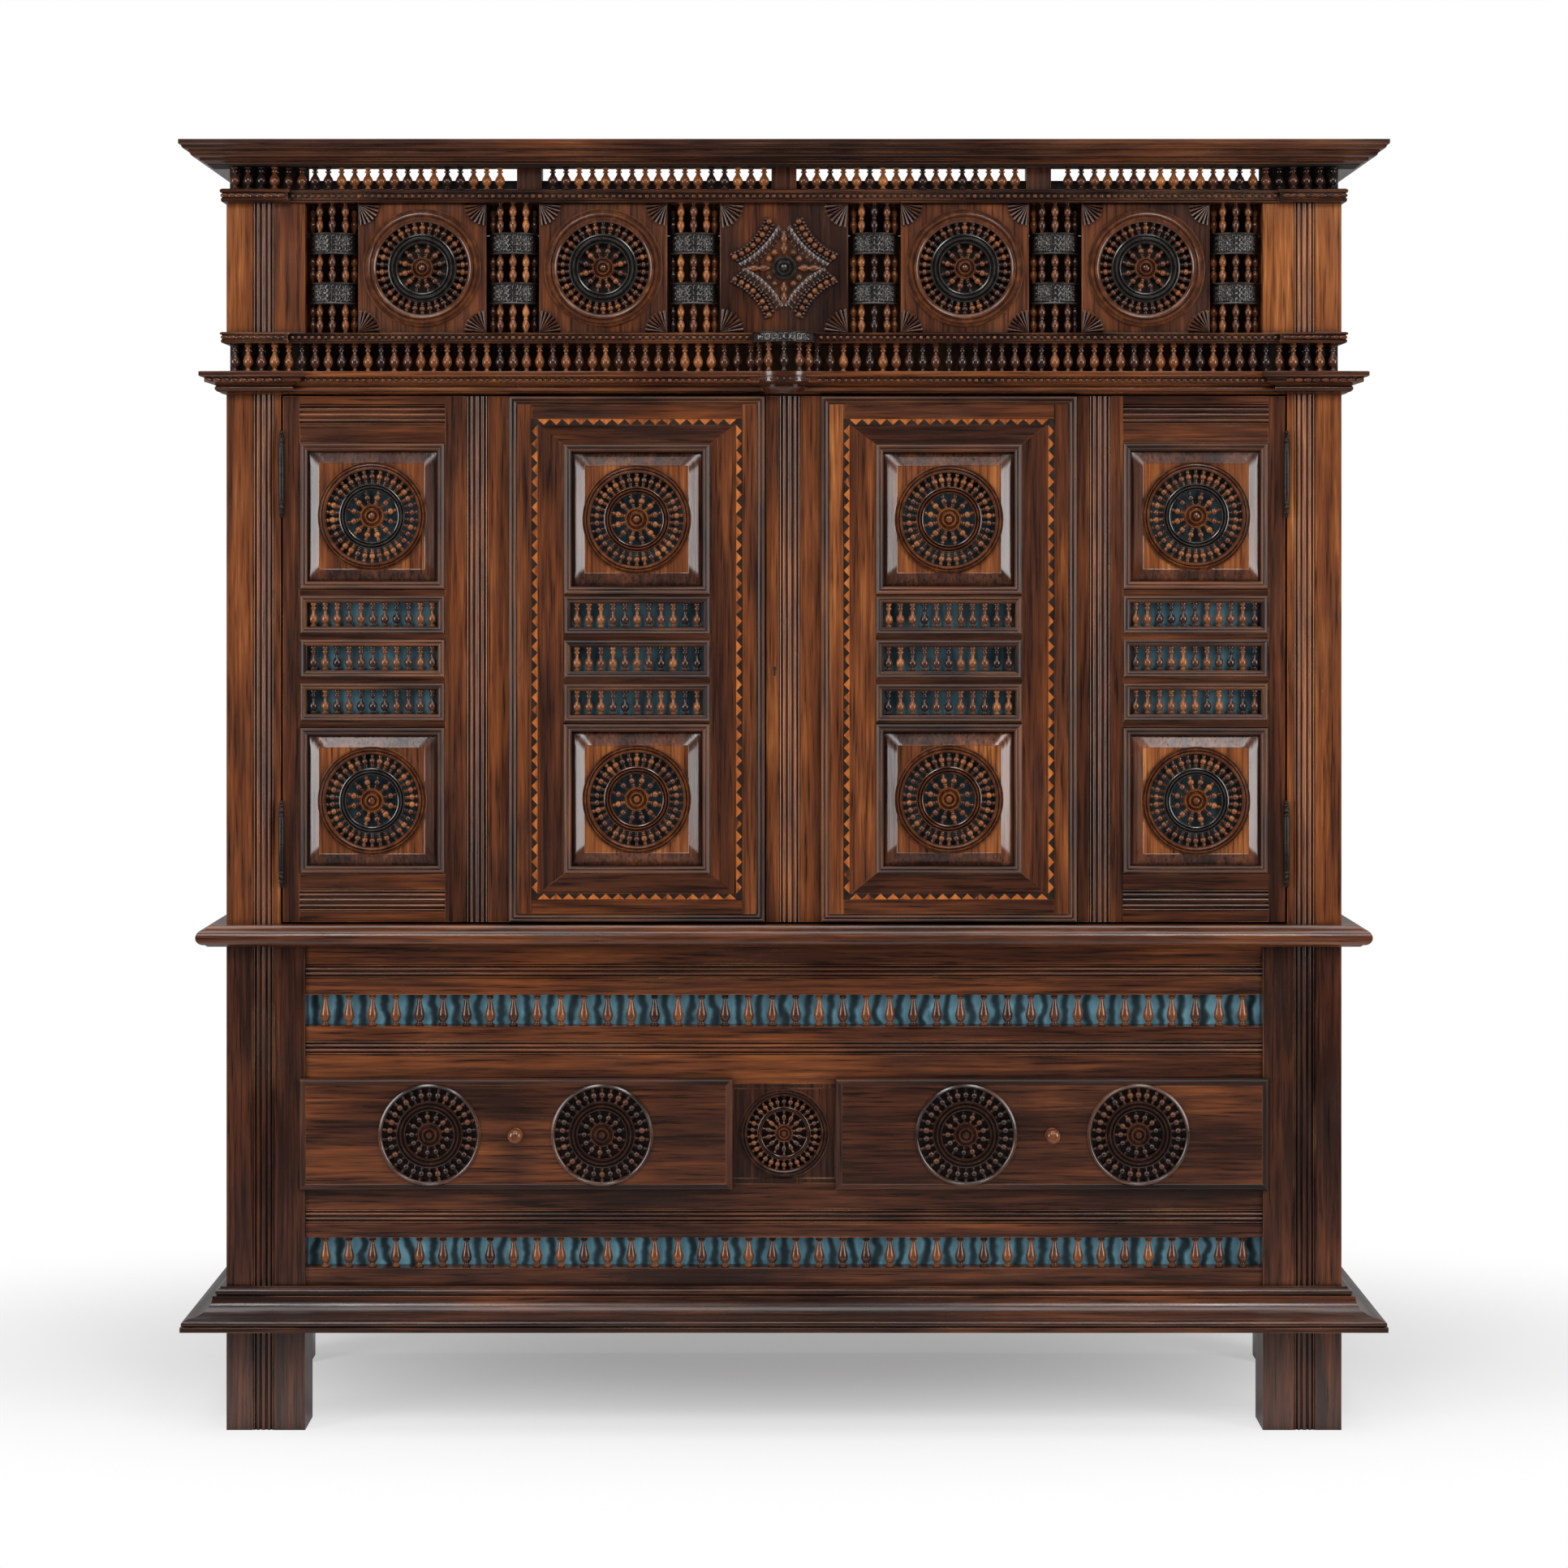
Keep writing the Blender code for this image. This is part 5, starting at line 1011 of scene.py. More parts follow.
def lower_cornice():
    """The moulding over the doors with its pearls and corbel."""
    form = Form()
    profile = [(0.004, 0.0), (0.011, 0.004), (0.013, 0.004), *arc((0.0105, 0.0085), 0.0045, -90, 60, 6)]
    profile += [(0.0165, 0.0145), (0.0260, 0.0175), (0.0290, 0.0180), (0.0290, 0.0245), (0.0355, 0.0265)]
    profile += [(0.037, 0.0280), (0.037, 0.0335), (0.0355, 0.035)]
    moulding(form, BROKEN_PATH, broken_inner(HALF + GAP), profile, LOWER_CORNICE_BASE, -0.06, 0.19)
    pearls(form, LOWER_CORNICE_BASE + 0.0212, 0.0300, 0.0034, BRACKET_CLEAR, 0.02)
    rings = [[(a, BRACKET_AXIS - b, LOWER_CORNICE_BASE + level)
              for a, b in arc((0, 0), CORBEL_RADIUS * share, 0, 180, 24)] for share, level in CORBEL_STEPS]
    form.add(rings, capped(len(rings), len(rings[0])), "oak_x", -0.08)
    pearl, reach = ball(0.0026, 0.0026), 0.0488
    for turn in spaced(0.0, math.pi, 15):
        spot = (reach * math.cos(turn), BRACKET_AXIS - reach * math.sin(turn), LOWER_CORNICE_BASE + 0.0225)
        stand(form, pearl, spot, tone=-0.15)
    piece("lower_cornice_run", form, "lower_cornice")


BRACKET_RING = 0.0412
CLUSTER_SPINDLE = 0.0062
# The parts of a cluster's spindle that show between the bands
CLUSTER_PARTS = ((0.0, 0.046), (0.081, 0.126), (0.161, 0.207))


def frieze_lower():
    """The lower bead rail with the hanging gallery, the centre bracket and the spindle clusters."""
    form = Form()
    height = FRIEZE_BASE - LOWER_BEAD_BASE
    bead_rail(form, LOWER_BEAD_BASE, (0.0, 0.001, 0.005, 0.0060, 0.0130, 0.0145, 0.0165, height), HALF + GAP,
              -0.14)
    pearls(form, LOWER_BEAD_BASE + 0.0095, BEAD_REACH - PEARL_SINK, 0.0035, BRACKET_CLEAR)
    low, high = LOWER_CORNICE_TOP, LOWER_BEAD_BASE
    shape = lathe(scaled(GALLERY_FORM, 0.0078, high - low))
    places = [(x, y) for x, y in gallery_places() if abs(x) > 0.050]
    places += [(BRACKET_RING * math.cos(t), BRACKET_AXIS - BRACKET_RING * math.sin(t))
               for t in spaced(0.0, math.pi, 5)]
    for x, y in places:
        stand(form, shape, (x, y, low), tone=spindle_tone())
    corner_spindles(form, shape, HALF, FRONT + 0.030, low, -0.30)
    half_ring(form, 0.0, FRONT - 0.050, 0.0515, LOWER_BEAD_BASE + 0.0006, height - 0.0012, 0.030, -0.02, 1)
    shape = lathe([(CLUSTER_SPINDLE * share, start + (end - start) * place)
                   for start, end in CLUSTER_PARTS for share, place in BULB_FORM])
    reach = CLUSTER_RADIUS - 0.0056
    axis = FRONT + 0.0102 + BOW * reach
    for i in range(6):
        centre = FRIEZE_PITCH * (i - 2.5)
        for turn in (-72, -36, 0, 36, 72):
            angle = math.radians(turn)
            y = min(axis - BOW * reach * math.cos(angle), HEADER_BACK - CLUSTER_SPINDLE)
            stand(form, shape, (centre + reach * math.sin(angle), y, FRIEZE_BASE), tone=spindle_tone() + 0.04)
        for level in (-0.040, 0.040):
            half_ring(form, centre, FRONT - 0.0005, CLUSTER_RADIUS, FRIEZE_CENTRE + level - 0.0175, 0.035,
                      0.0045, -0.08)
    piece("frieze_lower_gallery", form, "frieze_lower_rail")


BLOCKS = (-0.408, 0.0, 0.408)
BLOCK_HALF = 0.020
BLOCK_CLEAR = 0.0268
SET_BACK = 0.002


def frieze_upper():
    """The upper bead rail with its pearls, open gallery and blocks."""
    form = Form()
    ups = (0.0, 0.0015, 0.0060, 0.0070, 0.0150, 0.0165, 0.0200, UPPER_BEAD_TOP - FRIEZE_TOP)
    bead_rail(form, FRIEZE_TOP, ups, HALF - 0.013, -0.16)
    pearls(form, FRIEZE_TOP + 0.0110, BEAD_REACH - PEARL_SINK, 0.0037)
    low, high = UPPER_BEAD_TOP, CORNICE_BASE - GAP
    shape = lathe(scaled(GALLERY_FORM, 0.0082, high - low), 10)
    for x, y in gallery_places():
        if all(abs(x - place) > BLOCK_CLEAR for place in BLOCKS):
            stand(form, shape, (x, y, low), tone=spindle_tone() + (0.06 if abs(x) < 0.76 else -0.16))
    corner_spindles(form, shape, HALF - SET_BACK, FRONT + 0.012, low, -0.24)
    for place in BLOCKS:
        board(form, about(place, BLOCK_HALF), (FRONT + SET_BACK, HEADER_BACK - SET_BACK), (low, high), "z", -0.10)
    # Near-black boards set where there is only shade: a ledge behind the spindles, a thin sheet under the cornice
    # and boards behind the ends: painted shade.
    board(form, about(0.0, CORNER_STEP), (HEADER_BACK - 0.012, HEADER_BACK - 0.004), (low, low + 0.0170), "x",
          finish="shade")
    board(form, about(0.0, HALF + 0.026), (FRONT - 0.027, HEADER_BACK), (high - 0.0007, high), "x",
          finish="shade")
    for side in SIDES.values():
        board(form, mirrored(side, POST_INNER - SET_BACK, HALF - SET_BACK),
              (HEADER_BACK - 0.015, HEADER_BACK - SET_BACK), (low, high), "x", finish="shade")
        board(form, mirrored(side, HALF - 0.011, HALF - SET_BACK), (BACK - 0.060, BACK - SET_BACK), (low, high),
              "z", -0.2)
    piece("frieze_upper_gallery", form, "frieze_upper_rail")


def cove(x, z, width, height, step):
    """A hollow that turns from level to upright."""
    return [(x + width * math.sin(t), z + height * (1 - math.cos(t))) for t in quarter(step)]


def crown():
    """The splayed crown moulding."""
    form = Form()
    profile = [(0.029, 0.0), (0.0325, 0.0035), (0.0365, 0.0040), (0.0372, 0.0075), (0.0395, 0.0080)]
    profile += cove(0.0415, 0.0085, 0.0085, 0.0070, 15)
    profile += [(0.0520, 0.0160), (0.0525, 0.0190), (0.0550, 0.0200)]
    profile += cove(0.0560, 0.0200, 0.0060, 0.0060, 18)
    profile += [(0.0640, 0.0268), (0.0660, 0.0280), (0.0660, 0.0345), (0.0650, 0.0350)]
    moulding(form, PLAIN_PATH, three_sides(HALF - 0.036, HEADER_BACK, BACK), profile, CORNICE_BASE, -0.11)
    piece("cornice_run", form, "cornice")


def fan(form, corner, way, face, radius, tone):
    """A carved quarter shell in one corner of a panel."""
    flutes, columns, rows = 7, 85, 9
    turn = np.linspace(0.0, math.pi / 2, columns)
    lobe = abs(np.sin(turn * 2 * flutes)) ** 0.6
    edge = radius * (0.90 + 0.10 * lobe)
    grid = [(share * edge, 0.0004 + share * 0.0052 * lobe) for share in np.linspace(0.06, 1.0, rows)]
    grid.append((edge + 0.0006, np.full(columns, -0.0008)))
    points = [np.stack([corner[0] + way[0] * reach * np.cos(turn), face - height,
                        corner[1] + way[1] * reach * np.sin(turn)], -1) for reach, height in grid]
    # Toned darker in the flutes and lighter on the lobes: painted shade and painted highlight.
    shade = [tone - 0.25 + 0.37 * lobe] * rows + [np.full(columns, tone)]
    form.add(points, lattice(rows + 1, columns, close_columns=False), "turned", np.concatenate(shade))


FRIEZE_FACE = FRONT + 0.004
FRIEZE_NODES = ("frieze_wheel_panel_1", "frieze_wheel_panel_2", "frieze_star_panel", "frieze_wheel_panel_3",
                "frieze_wheel_panel_4")


def frieze_panels():
    """Four pierced wheel panels and the star panel, with shells in their corners."""
    face, back = FRIEZE_FACE, FRIEZE_FACE + 0.016
    size = (FRIEZE_PANEL, FRIEZE_TOP - FRIEZE_BASE)
    half_x, half_z = size[0] / 2 - GAP, size[1] / 2 - GAP
    for name, step in zip(FRIEZE_NODES, (-2, -1, 0, 1, 2)):
        form = Form()
        x = FRIEZE_PITCH * step
        if step:
            border = [(0.0, back), (0.0, face + 0.001), (0.001, face)]
            wheel_plate(form, "frieze", x, FRIEZE_CENTRE, size, back, border, face)
            # A near-black board behind the wheel: painted shade.
            board(form, about(x, 0.085), (back - 0.004, back - GAP), about(FRIEZE_CENTRE, 0.085), "z",
                  finish="shade")
            wheel(form, "frieze", x, FRIEZE_CENTRE, face, "slate")
        else:
            board(form, about(x, half_x), (face, back), (FRIEZE_BASE + GAP, FRIEZE_TOP - GAP), "z", -0.06)
            star(form)
        for a, b in CORNERS:
            corner = (x + a * (half_x - 0.001), FRIEZE_CENTRE + b * (half_z - 0.001))
            fan(form, corner, (-a, -b), face, 0.034 if step else 0.037, -0.16)
        piece(name + "_carved", form, name)


def star(form):
    """The star of beads and carved bars round a boss."""
    cap = lathe(scaled(HUB_STEPS, 0.019, 0.0075), HUB_SIDES)
    stand(form, cap, (0.0, FRIEZE_FACE + 0.0005, FRIEZE_CENTRE), OUTWARD, "slate", -0.10)
    arm, reach = lathe(scaled(ARM_FORM, 0.0056, 0.038)), 0.0225
    for i in range(4):
        turn = math.pi / 2 * i
        way = (math.cos(turn), 0.0, math.sin(turn))
        foot = (way[0] * reach, FRIEZE_FACE - 0.0020, FRIEZE_CENTRE + way[2] * reach)
        stand(form, arm, foot, way, tone=0.14)
    large, small = ball(0.0052, 0.0052, 10), ball(0.0030, 0.0030)
    for a, b in CORNERS:
        # Rows of beads, with their ends in millimetres from the middle
        for start, end, count, shape, tone in (((79, 18), (24, 75), 8, large, 0.14),
                                               ((84, 22), (29, 79), 15, small, -0.10),
                                               ((74, 12), (18, 69), 15, small, -0.10),
                                               ((15, 25), (24, 15), 2, large, 0.10)):
            for share in np.linspace(0.0, 1.0, count):
                dip = 6.0 * (1 - (2 * share - 1) ** 2) if count > 2 else 0.0
                across, up = [p + (q - p) * share - dip for p, q in zip(start, end)]
                spot = (a * across / 1000, FRIEZE_FACE - 0.0022, FRIEZE_CENTRE + b * up / 1000)
                stand(form, shape, spot, OUTWARD, tone=tone + rng.uniform(-0.10, 0.10))
        carved_bar(form, (a, b))


BAR_OUTLINE = ((-0.0080, -0.0006), (-0.0066, 0.0026), (-0.0024, 0.0042), (0.0024, 0.0042), (0.0066, 0.0026),
               (0.0080, -0.0006))


def carved_bar(form, way):
    """One hatched bar of the star."""
    start, end = np.array((0.068, 0.003)), np.array((0.005, 0.064))
    along = (end - start) / np.linalg.norm(end - start)
    across = np.array((along[1], -along[0]))
    steps, hatches, bend = 61, 10, 0.0045
    points = []
    for share in np.linspace(0.0, 1.0, steps):
        groove = 0.55 + 0.45 * abs(math.sin(math.pi * hatches * share))
        middle = start + (end - start) * share - bend * (1 - (2 * share - 1) ** 2)
        for p, q in BAR_OUTLINE:
            u, v = middle + across * p
            points.append((way[0] * u, FRIEZE_FACE - q * (groove if q > 0 else 1.0), FRIEZE_CENTRE + way[1] * v))
    form.add(points, capped(steps, len(BAR_OUTLINE)), "turned", -0.15)


# Doors

WINDOW_RAIL = 0.039
WINDOW_PITCH = 0.070
WINDOW_MARGIN = 0.0115
WINDOW_SPINDLES = 11
UPRIGHT = (DOOR_BASE, DOOR_TOP)
PANEL_MOULDING = 0.0135
OUTER_PANEL = (0.233, 0.2345)
INNER_PANEL = (INLAY_PANEL_WIDTH + 2 * PANEL_MOULDING, 0.241)
# Closed loops of frames, as (inset, depth from the face)
WINDOW_LOOP = (
    (0.0, 0.0), (0.0005, -0.0020), (0.0025, -0.0034), (0.0045, -0.0020), (0.0055, -0.0012), (0.0070, -0.0024),
    (0.0088, -0.0018), (0.0105, 0.0015), (0.0105, 0.004), (0.004, 0.001),
)
PANEL_LOOP = (
    (0.0, 0.0006), (0.0009, -0.0024), (0.0034, -0.0040), (0.0058, -0.0026), (0.0068, -0.0016),
    (0.0090, -0.0034), (0.0114, -0.0020), (0.0130, 0.0012), (0.0135, 0.0100), (0.0050, 0.0060),
)
INLAY_EDGE = 0.0135
INLAY_LINE = (
    (0.0, 0.004), (0.0012, 0.0008), (0.0035, 0.0), (0.0052, 0.0012), (0.0062, 0.0026), (0.0085, 0.0004),
    (0.0108, 0.0018), (0.0125, 0.0030), (INLAY_EDGE, 0.0012),
)
INLAY_BAND = 0.037
DOOR_RAIL = 0.077
OUTER_TOP_RAIL = 0.075
KEYHOLE_INSET = 0.013
KEYHOLE_LEVEL = 1.220
# Right board, level boards and left board
INLAY_TONES = {"left": (0.07, 0.01, 0.09), "right": (0.06, 0.01, 0.22)}


def levels(bottom, top, panel):
    """Every level at which a door column changes."""
    low, high = DOOR_BASE + bottom, DOOR_TOP - top
    middle = (low + high) / 2
    rows = [edge for row in (-1, 0, 1) for edge in about(middle + row * WINDOW_PITCH, WINDOW_RAIL / 2)]
    return [DOOR_BASE, low, low + panel, *rows, high - panel, high, DOOR_TOP]


def from_face(face, loop):
    """A loop or line moved to its face."""
    return [(by, face + y) for by, y in loop]


def windows(form, x, steps, face, back, tone):
    """Rails, moulded openings and spindles of the three windows of a column."""
    rows = steps[2:-2]
    for z in zip(rows[0::2], rows[1::2]):
        board(form, x, (face, back), z, "x", tone + rng.uniform(-0.05, 0.05))
    for z in zip(rows[1::2], rows[2::2]):
        window(form, x, z, face, back, tone)


def window(form, x, z, face, back, tone):
    """One opening with its mitred moulding and its spindles."""
    low, high = inset(x, WINDOW_MARGIN)
    for ends in ((x[0], low), (high, x[1])):
        board(form, ends, (face, back), z, "z", tone)
    out = -WINDOW_LOOP[-2][0]
    frame_loop(form, inset((low, high), out), inset(z, out), from_face(face, WINDOW_LOOP), tone - 0.08)
    shape = lathe(scaled(WINDOW_FORM, 0.0068, z[1] - z[0]))
    for place in spaced(low, high, WINDOW_SPINDLES):
        stand(form, shape, (place, face + 0.0078, z[0]), tone=spindle_tone() - 0.01)


def door_panel(form, x, z, size, face, back, bevel, ring_finish):
    """A raised panel with a bolection moulding, a (width, rise) bevel and a pierced wheel."""
    inner = [length - 2 * PANEL_MOULDING for length in size]
    top = face - 0.0040
    field = top + 0.0006
    border = [(0.0, back), (0.0, top + bevel[1]), (bevel[0], top), (bevel[0] + 0.0010, field)]
    wheel_plate(form, "door", x, z, inner, back, border, field)
    across, up = about(x, size[0] / 2 - GAP), about(z, size[1] / 2 - GAP)
    frame_loop(form, across, up, from_face(face, PANEL_LOOP), -0.10)
    wheel(form, "door", x, z, top + 0.0005, ring_finish)


def zigzag(form, x, z, face):
    """A border of orange and black triangles let into a frame."""
    wide, pitch = 0.0092, 0.0202
    low, top = face + 0.0004, face - 0.0004
    frame_loop(form, x, z, [(0.0, low), (0.0, top), (wide, top), (wide, low)], 0.0, ("ebony", "ebony"))
    inner_x, inner_z = inset(x, wide), inset(z, wide)
    runs = [((inner_x[0], level), (inner_x[1], level), (0, way)) for level, way in zip(z, (1, -1))]
    runs += [((place, inner_z[0]), (place, inner_z[1]), (way, 0)) for place, way in zip(inner_x, (-1, 1))]
    for start, end, way in np.array(runs):
        count = round(math.hypot(*(end - start)) / pitch)
        step = (end - start) / count
        for i in range(count):
            first, second = start + step * i, start + step * (i + 1)
            tip = (first + second) / 2 + way * wide
            ends = [[(a, y, b) for a, b in (first, second, tip)] for y in (top - 0.0003, top + 0.0001)]
            prism(form, *ends, "inlay")


def inlay_span(word, side):
    """How far the inlaid column of a door lies from the middle."""
    leading = LEADING_STILE if word == "right" else 0.0
    return side * MEETING + MEETING_GAP / 2 + leading, PANEL_INNER - MID_STILE[word]


def door(word, side):
    """One door: outer column, marquetry column, panels and windows."""
    inlay = inlay_span(word, side)
    outer = mirrored(side, PANEL_INNER, PANEL_OUTER)
    steps = levels(DOOR_RAIL, OUTER_TOP_RAIL, OUTER_PANEL[1])
    form = Form()
    board(form, mirrored(side, PANEL_OUTER, HINGE_EDGE), (FRONT, DOOR_BACK), UPRIGHT, "z", 0.0)
    stile = mirrored(side, inlay[1] + GAP, PANEL_INNER)
    reeded_board(form, stile, FRONT, DOOR_BACK, UPRIGHT, "z", [sum(stile) / 2 - THREE_WIDE / 2], tone=0.05)
    for rail, shift in ((steps[:2], -0.004), (steps[-2:], 0.008)):
        start = sum(rail) / 2 - THREE_WIDE / 2 + shift
        reeded_board(form, rail, FRONT, DOOR_BACK, outer, "x", [start], tone=-0.03)
    windows(form, outer, steps, FRONT, DOOR_BACK, -0.06)
    if word == "right":
        meeting = MEETING + MEETING_GAP / 2
        stile = (meeting, inlay[0] - GAP)
        start = sum(stile) / 2 - THREE_WIDE / 2 - 0.006
        reeded_board(form, stile, FRONT, DOOR_BACK, UPRIGHT, "z", [start], tone=0.15)
        keyhole(form, meeting + KEYHOLE_INSET, KEYHOLE_LEVEL)
    piece(f"{word}_door_joinery", form, f"{word}_door_frame", body=f"{word}_door")
    middle = side * (PANEL_INNER + PANEL_OUTER) / 2
    panels(word, "outer", middle, OUTER_PANEL, steps, FRONT, FRONT + 0.016, (0.018, 0.0080), "slate")
    steps = levels(DOOR_RAIL, DOOR_RAIL, INNER_PANEL[1])
    marquetry(word, mirrored(side, *inlay), steps)
    panels(word, "inner", side * sum(inlay) / 2, INNER_PANEL, steps, INLAY_FACE, INLAY_FACE + 0.020,
           (0.0205, 0.0104), "turned")


def panels(word, column, x, size, steps, face, back, bevel, ring_finish):
    """Both wheel panels of a column."""
    for row, level in (("lower", (steps[1] + steps[2]) / 2), ("upper", (steps[-3] + steps[-2]) / 2)):
        form = Form()
        door_panel(form, x, level, size, face, back, bevel, ring_finish)
        name = f"{word}_door_{column}_{row}_panel"
        piece(name + "_carved", form, name, body=f"{word}_door")


def marquetry(word, x, steps):
    """The raised inlaid frame of a door."""
    form = Form()
    back, field = DOOR_BACK - 2 * GAP, INLAY_FACE + 0.0008
    depth = (field, back)
    frame_loop(form, x, UPRIGHT, [(0.0, back), *from_face(INLAY_FACE, INLAY_LINE), (INLAY_EDGE, back)], -0.12)
    rim_x, rim_z = inset(x, INLAY_EDGE), inset(UPRIGHT, INLAY_EDGE)
    line_x, line_z = inset(x, INLAY_BAND), inset(UPRIGHT, INLAY_BAND)
    right, level, left = INLAY_TONES[word]
    board(form, (rim_x[0], line_x[0]), depth, rim_z, "z", left)
    board(form, (line_x[1], rim_x[1]), depth, rim_z, "z", right)
    board(form, line_x, depth, (rim_z[0], line_z[0]), "x", level)
    board(form, line_x, depth, (line_z[1], rim_z[1]), "x", level)
    opening = about(sum(x) / 2, INNER_PANEL[0] / 2)
    outer, holes = np.array(corners(line_x, line_z)), np.array(corners(opening, (steps[1], steps[-2])))
    for n, tone in enumerate((level - 0.06, right - 0.06, level - 0.08, left - 0.08)):
        slip = np.array(((GAP, 0.0), (0.0, GAP))[n % 2]) * (1 if n < 2 else -1)
        ends = []
        for k, way in ((n, slip), ((n + 1) % 4, -slip)):
            (a, b), (u, v) = outer[k] + way, holes[k] + way
            ends.append([(a, field, b), (u, field, v), (u, back, v), (a, back, b)])
        prism(form, *ends, ("oak_x", "oak_z")[n % 2], tone)
    zigzag(form, line_x, line_z, field)
    windows(form, opening, steps, field, back, -0.10)
    piece(f"{word}_marquetry", form, f"{word}_marquetry_frame", body=f"{word}_door")


def keyhole(form, x, z):
    """A keyhole let into the leading stile, drawn as a near-black solid: painted shade for the hole."""
    outline = arc((0.0, 0.0), 0.0035, -60, 240, 14) + [(-0.0018, -0.012), (0.0018, -0.012)]
    prism(form, *[[(x + a, y, z + b) for a, b in outline] for y in (FRONT - 0.0003, FRONT + 0.004)], "shade")


# Hinges

HINGE_AXIS = 0.8045
HINGE_HEIGHT = 0.125
HINGE_LEAF = 0.0018
HINGE_OUTLINE = (
    (0.0010, 0.0), (0.0026, 0.0015), (0.0031, 0.0040), (0.0020, 0.0055), (0.0040, 0.0075), (0.0041, 0.0090),
    (0.0025, 0.0105), (0.0025, 0.0125), (0.0043, 0.0145), (0.0045, 0.0170), (0.0030, 0.0190), (0.0030, 0.0210),
    (0.0043, 0.0225), (0.0045, 0.0250), (0.0038, 0.0262), (0.0043, 0.0280), (0.0045, 0.0697),
)


def hinges(word, side):
    """Turned iron hinges: the lower half stays on the post and the upper half goes with the door."""
    axis_y = FRONT - 0.0052
    for row, level in (("lower", DOOR_BASE + HINGE_HEIGHT), ("upper", DOOR_TOP - HINGE_HEIGHT)):
        for half, body, up in (("pin", "carcase", 1), ("sleeve", f"{word}_door", -1)):
            form = Form()
            stand(form, lathe(HINGE_OUTLINE, 16), (side * HINGE_AXIS, axis_y, level - up * 0.070), (0, 0, up),
                  "iron")
            near = HINGE_AXIS + up * 0.0012
            x = mirrored(side, near, near - up * HINGE_LEAF)
            z = sorted((level - up * 0.054, level - up * 0.0023))
            leaf = [(x[0], z[0]), (x[0], z[1]), (x[1], z[1]), (x[1], z[0])]
            prism(form, *[[(a, y, b) for a, b in leaf] for y in (axis_y + 0.0036, FRONT + 0.020)], "iron")
            name = f"{word}_{row}_hinge_{half}"
            piece(name + "_turned", form, name, body=body, slot="black_iron")


# Cloth

CLOTH_SEAT = GAP + 0.0033
CLOTH_MARGIN = 0.004
FOLD_LIMIT = 0.0029
DOOR_CLOTH = (0.887, 1.585)


def curtain(node, body, x, y, z, cell, pitch, bulge, finish):
    """A gathered cloth: broad folds with finer gathers over them, pushed forward by a bulge."""
    width, height = x[1] - x[0], z[1] - z[0]
    count, rows = round(width / cell), max(12, round(height / 0.010))
    a, t = np.meshgrid(np.linspace(*x, count), np.linspace(0.0, 1.0, rows))
    phase = 2 * math.pi * round(width / pitch) * (a - x[0]) / width
    swing = 0.5 * np.sin(phase * 0.37 + 1.3) + 0.35 * np.sin(phase * 0.23 + 4.0 * t)
    wave = 1.35 * np.cos(phase) + 0.75 * np.cos(2.63 * phase + 2.0 * swing + 1.6 * t)
    wave += 0.45 * np.cos(4.37 * phase + 3.0 * swing - 2.2 * t)
    belly = np.sin(math.pi * np.clip((t - 0.10) / 0.80, 0, 1))
    puff = 0.5 - 0.5 * np.cos(math.pi * (a + BALUSTER_REACH) * BALUSTERS / BALUSTER_REACH + 0.8 * swing)
    depth = np.clip(wave / 1000, -FOLD_LIMIT, FOLD_LIMIT)
    depth -= bulge * belly * (0.15 + 0.85 * puff) * (0.85 + 0.15 * np.sin(phase * 1.9 + 0.6))
    up = z[0] + height * t
    form = Form()
    form.add(np.stack([a, y + depth, up], -1), lattice(rows, count, close_columns=False), finish)
    obj = piece(node + "_cloth", form, node, body=body, slot="teal_cloth")
    width = float(np.mean(np.sum(np.hypot(np.diff(a, axis=1), np.diff(depth, axis=1)), axis=1)))
    height = float(np.mean(np.sum(np.hypot(np.diff(up, axis=0), np.diff(depth, axis=0)), axis=0)))


def curtains():
    """The four cloths: one behind each chest gallery and one behind each door."""
    for word, low, high, rail in (("lower", BOTTOM_RAIL_TOP, LOWER_RAIL_BASE, "chest_bottom_rail"),
                                  ("upper", MIDDLE_RAIL_TOP, TOP_RAIL_BASE, "chest_middle_rail")):
        curtain(f"chest_{word}_curtain", "carcase", about(0.0, POST_INNER - GAP), RAIL_BACK + CLOTH_SEAT,
                inset((low, high), -CLOTH_MARGIN), 0.0032, 0.120, 0.0100, "cloth")
    for word, side in SIDES.items():
        start = sum(inlay_span(word, side)) / 2 - INLAY_PANEL_WIDTH / 2 - CLOTH_MARGIN
        curtain(f"{word}_door_curtain", f"{word}_door", mirrored(side, start, PANEL_OUTER + CLOTH_MARGIN),
                DOOR_BACK + CLOTH_SEAT, DOOR_CLOTH, 0.005, 0.058, 0.0, "deep_cloth")


# Carried-over nodes

CARRIED = {
    "dry": ["back_boards"],
    "dry_x": ["inner_shelf", "roof_board", "drawer_bearer"],
    "dry_y": ["left_drawer_box", "right_drawer_box"],
    "oak_z": ["chest_side_left", "chest_side_right", "cabinet_side_left", "cabinet_side_right"],
    "bright": ["lock_bolt"],
}


def dress_frame():
    """Give each node that still shows its finish, which is iron unless CARRIED says otherwise."""
    chosen = {node: key for key, nodes in CARRIED.items() for node in nodes}
    for name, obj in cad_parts.items():
        if not obj.hide_render:
            obj.data.materials.clear()
            obj.data.materials.append(FINISHES[chosen.get(name, "iron")])


# Studio

AMBIENT = 0.042
FLOOR_RADIUS = 2.6
FLOOR_STOPS = ((0.3, (0.93 * 0.985,) * 3), (0.7, (0.93,) * 3))
DARK_FLOOR = (0.03, 0.03, 0.03, 1.0)
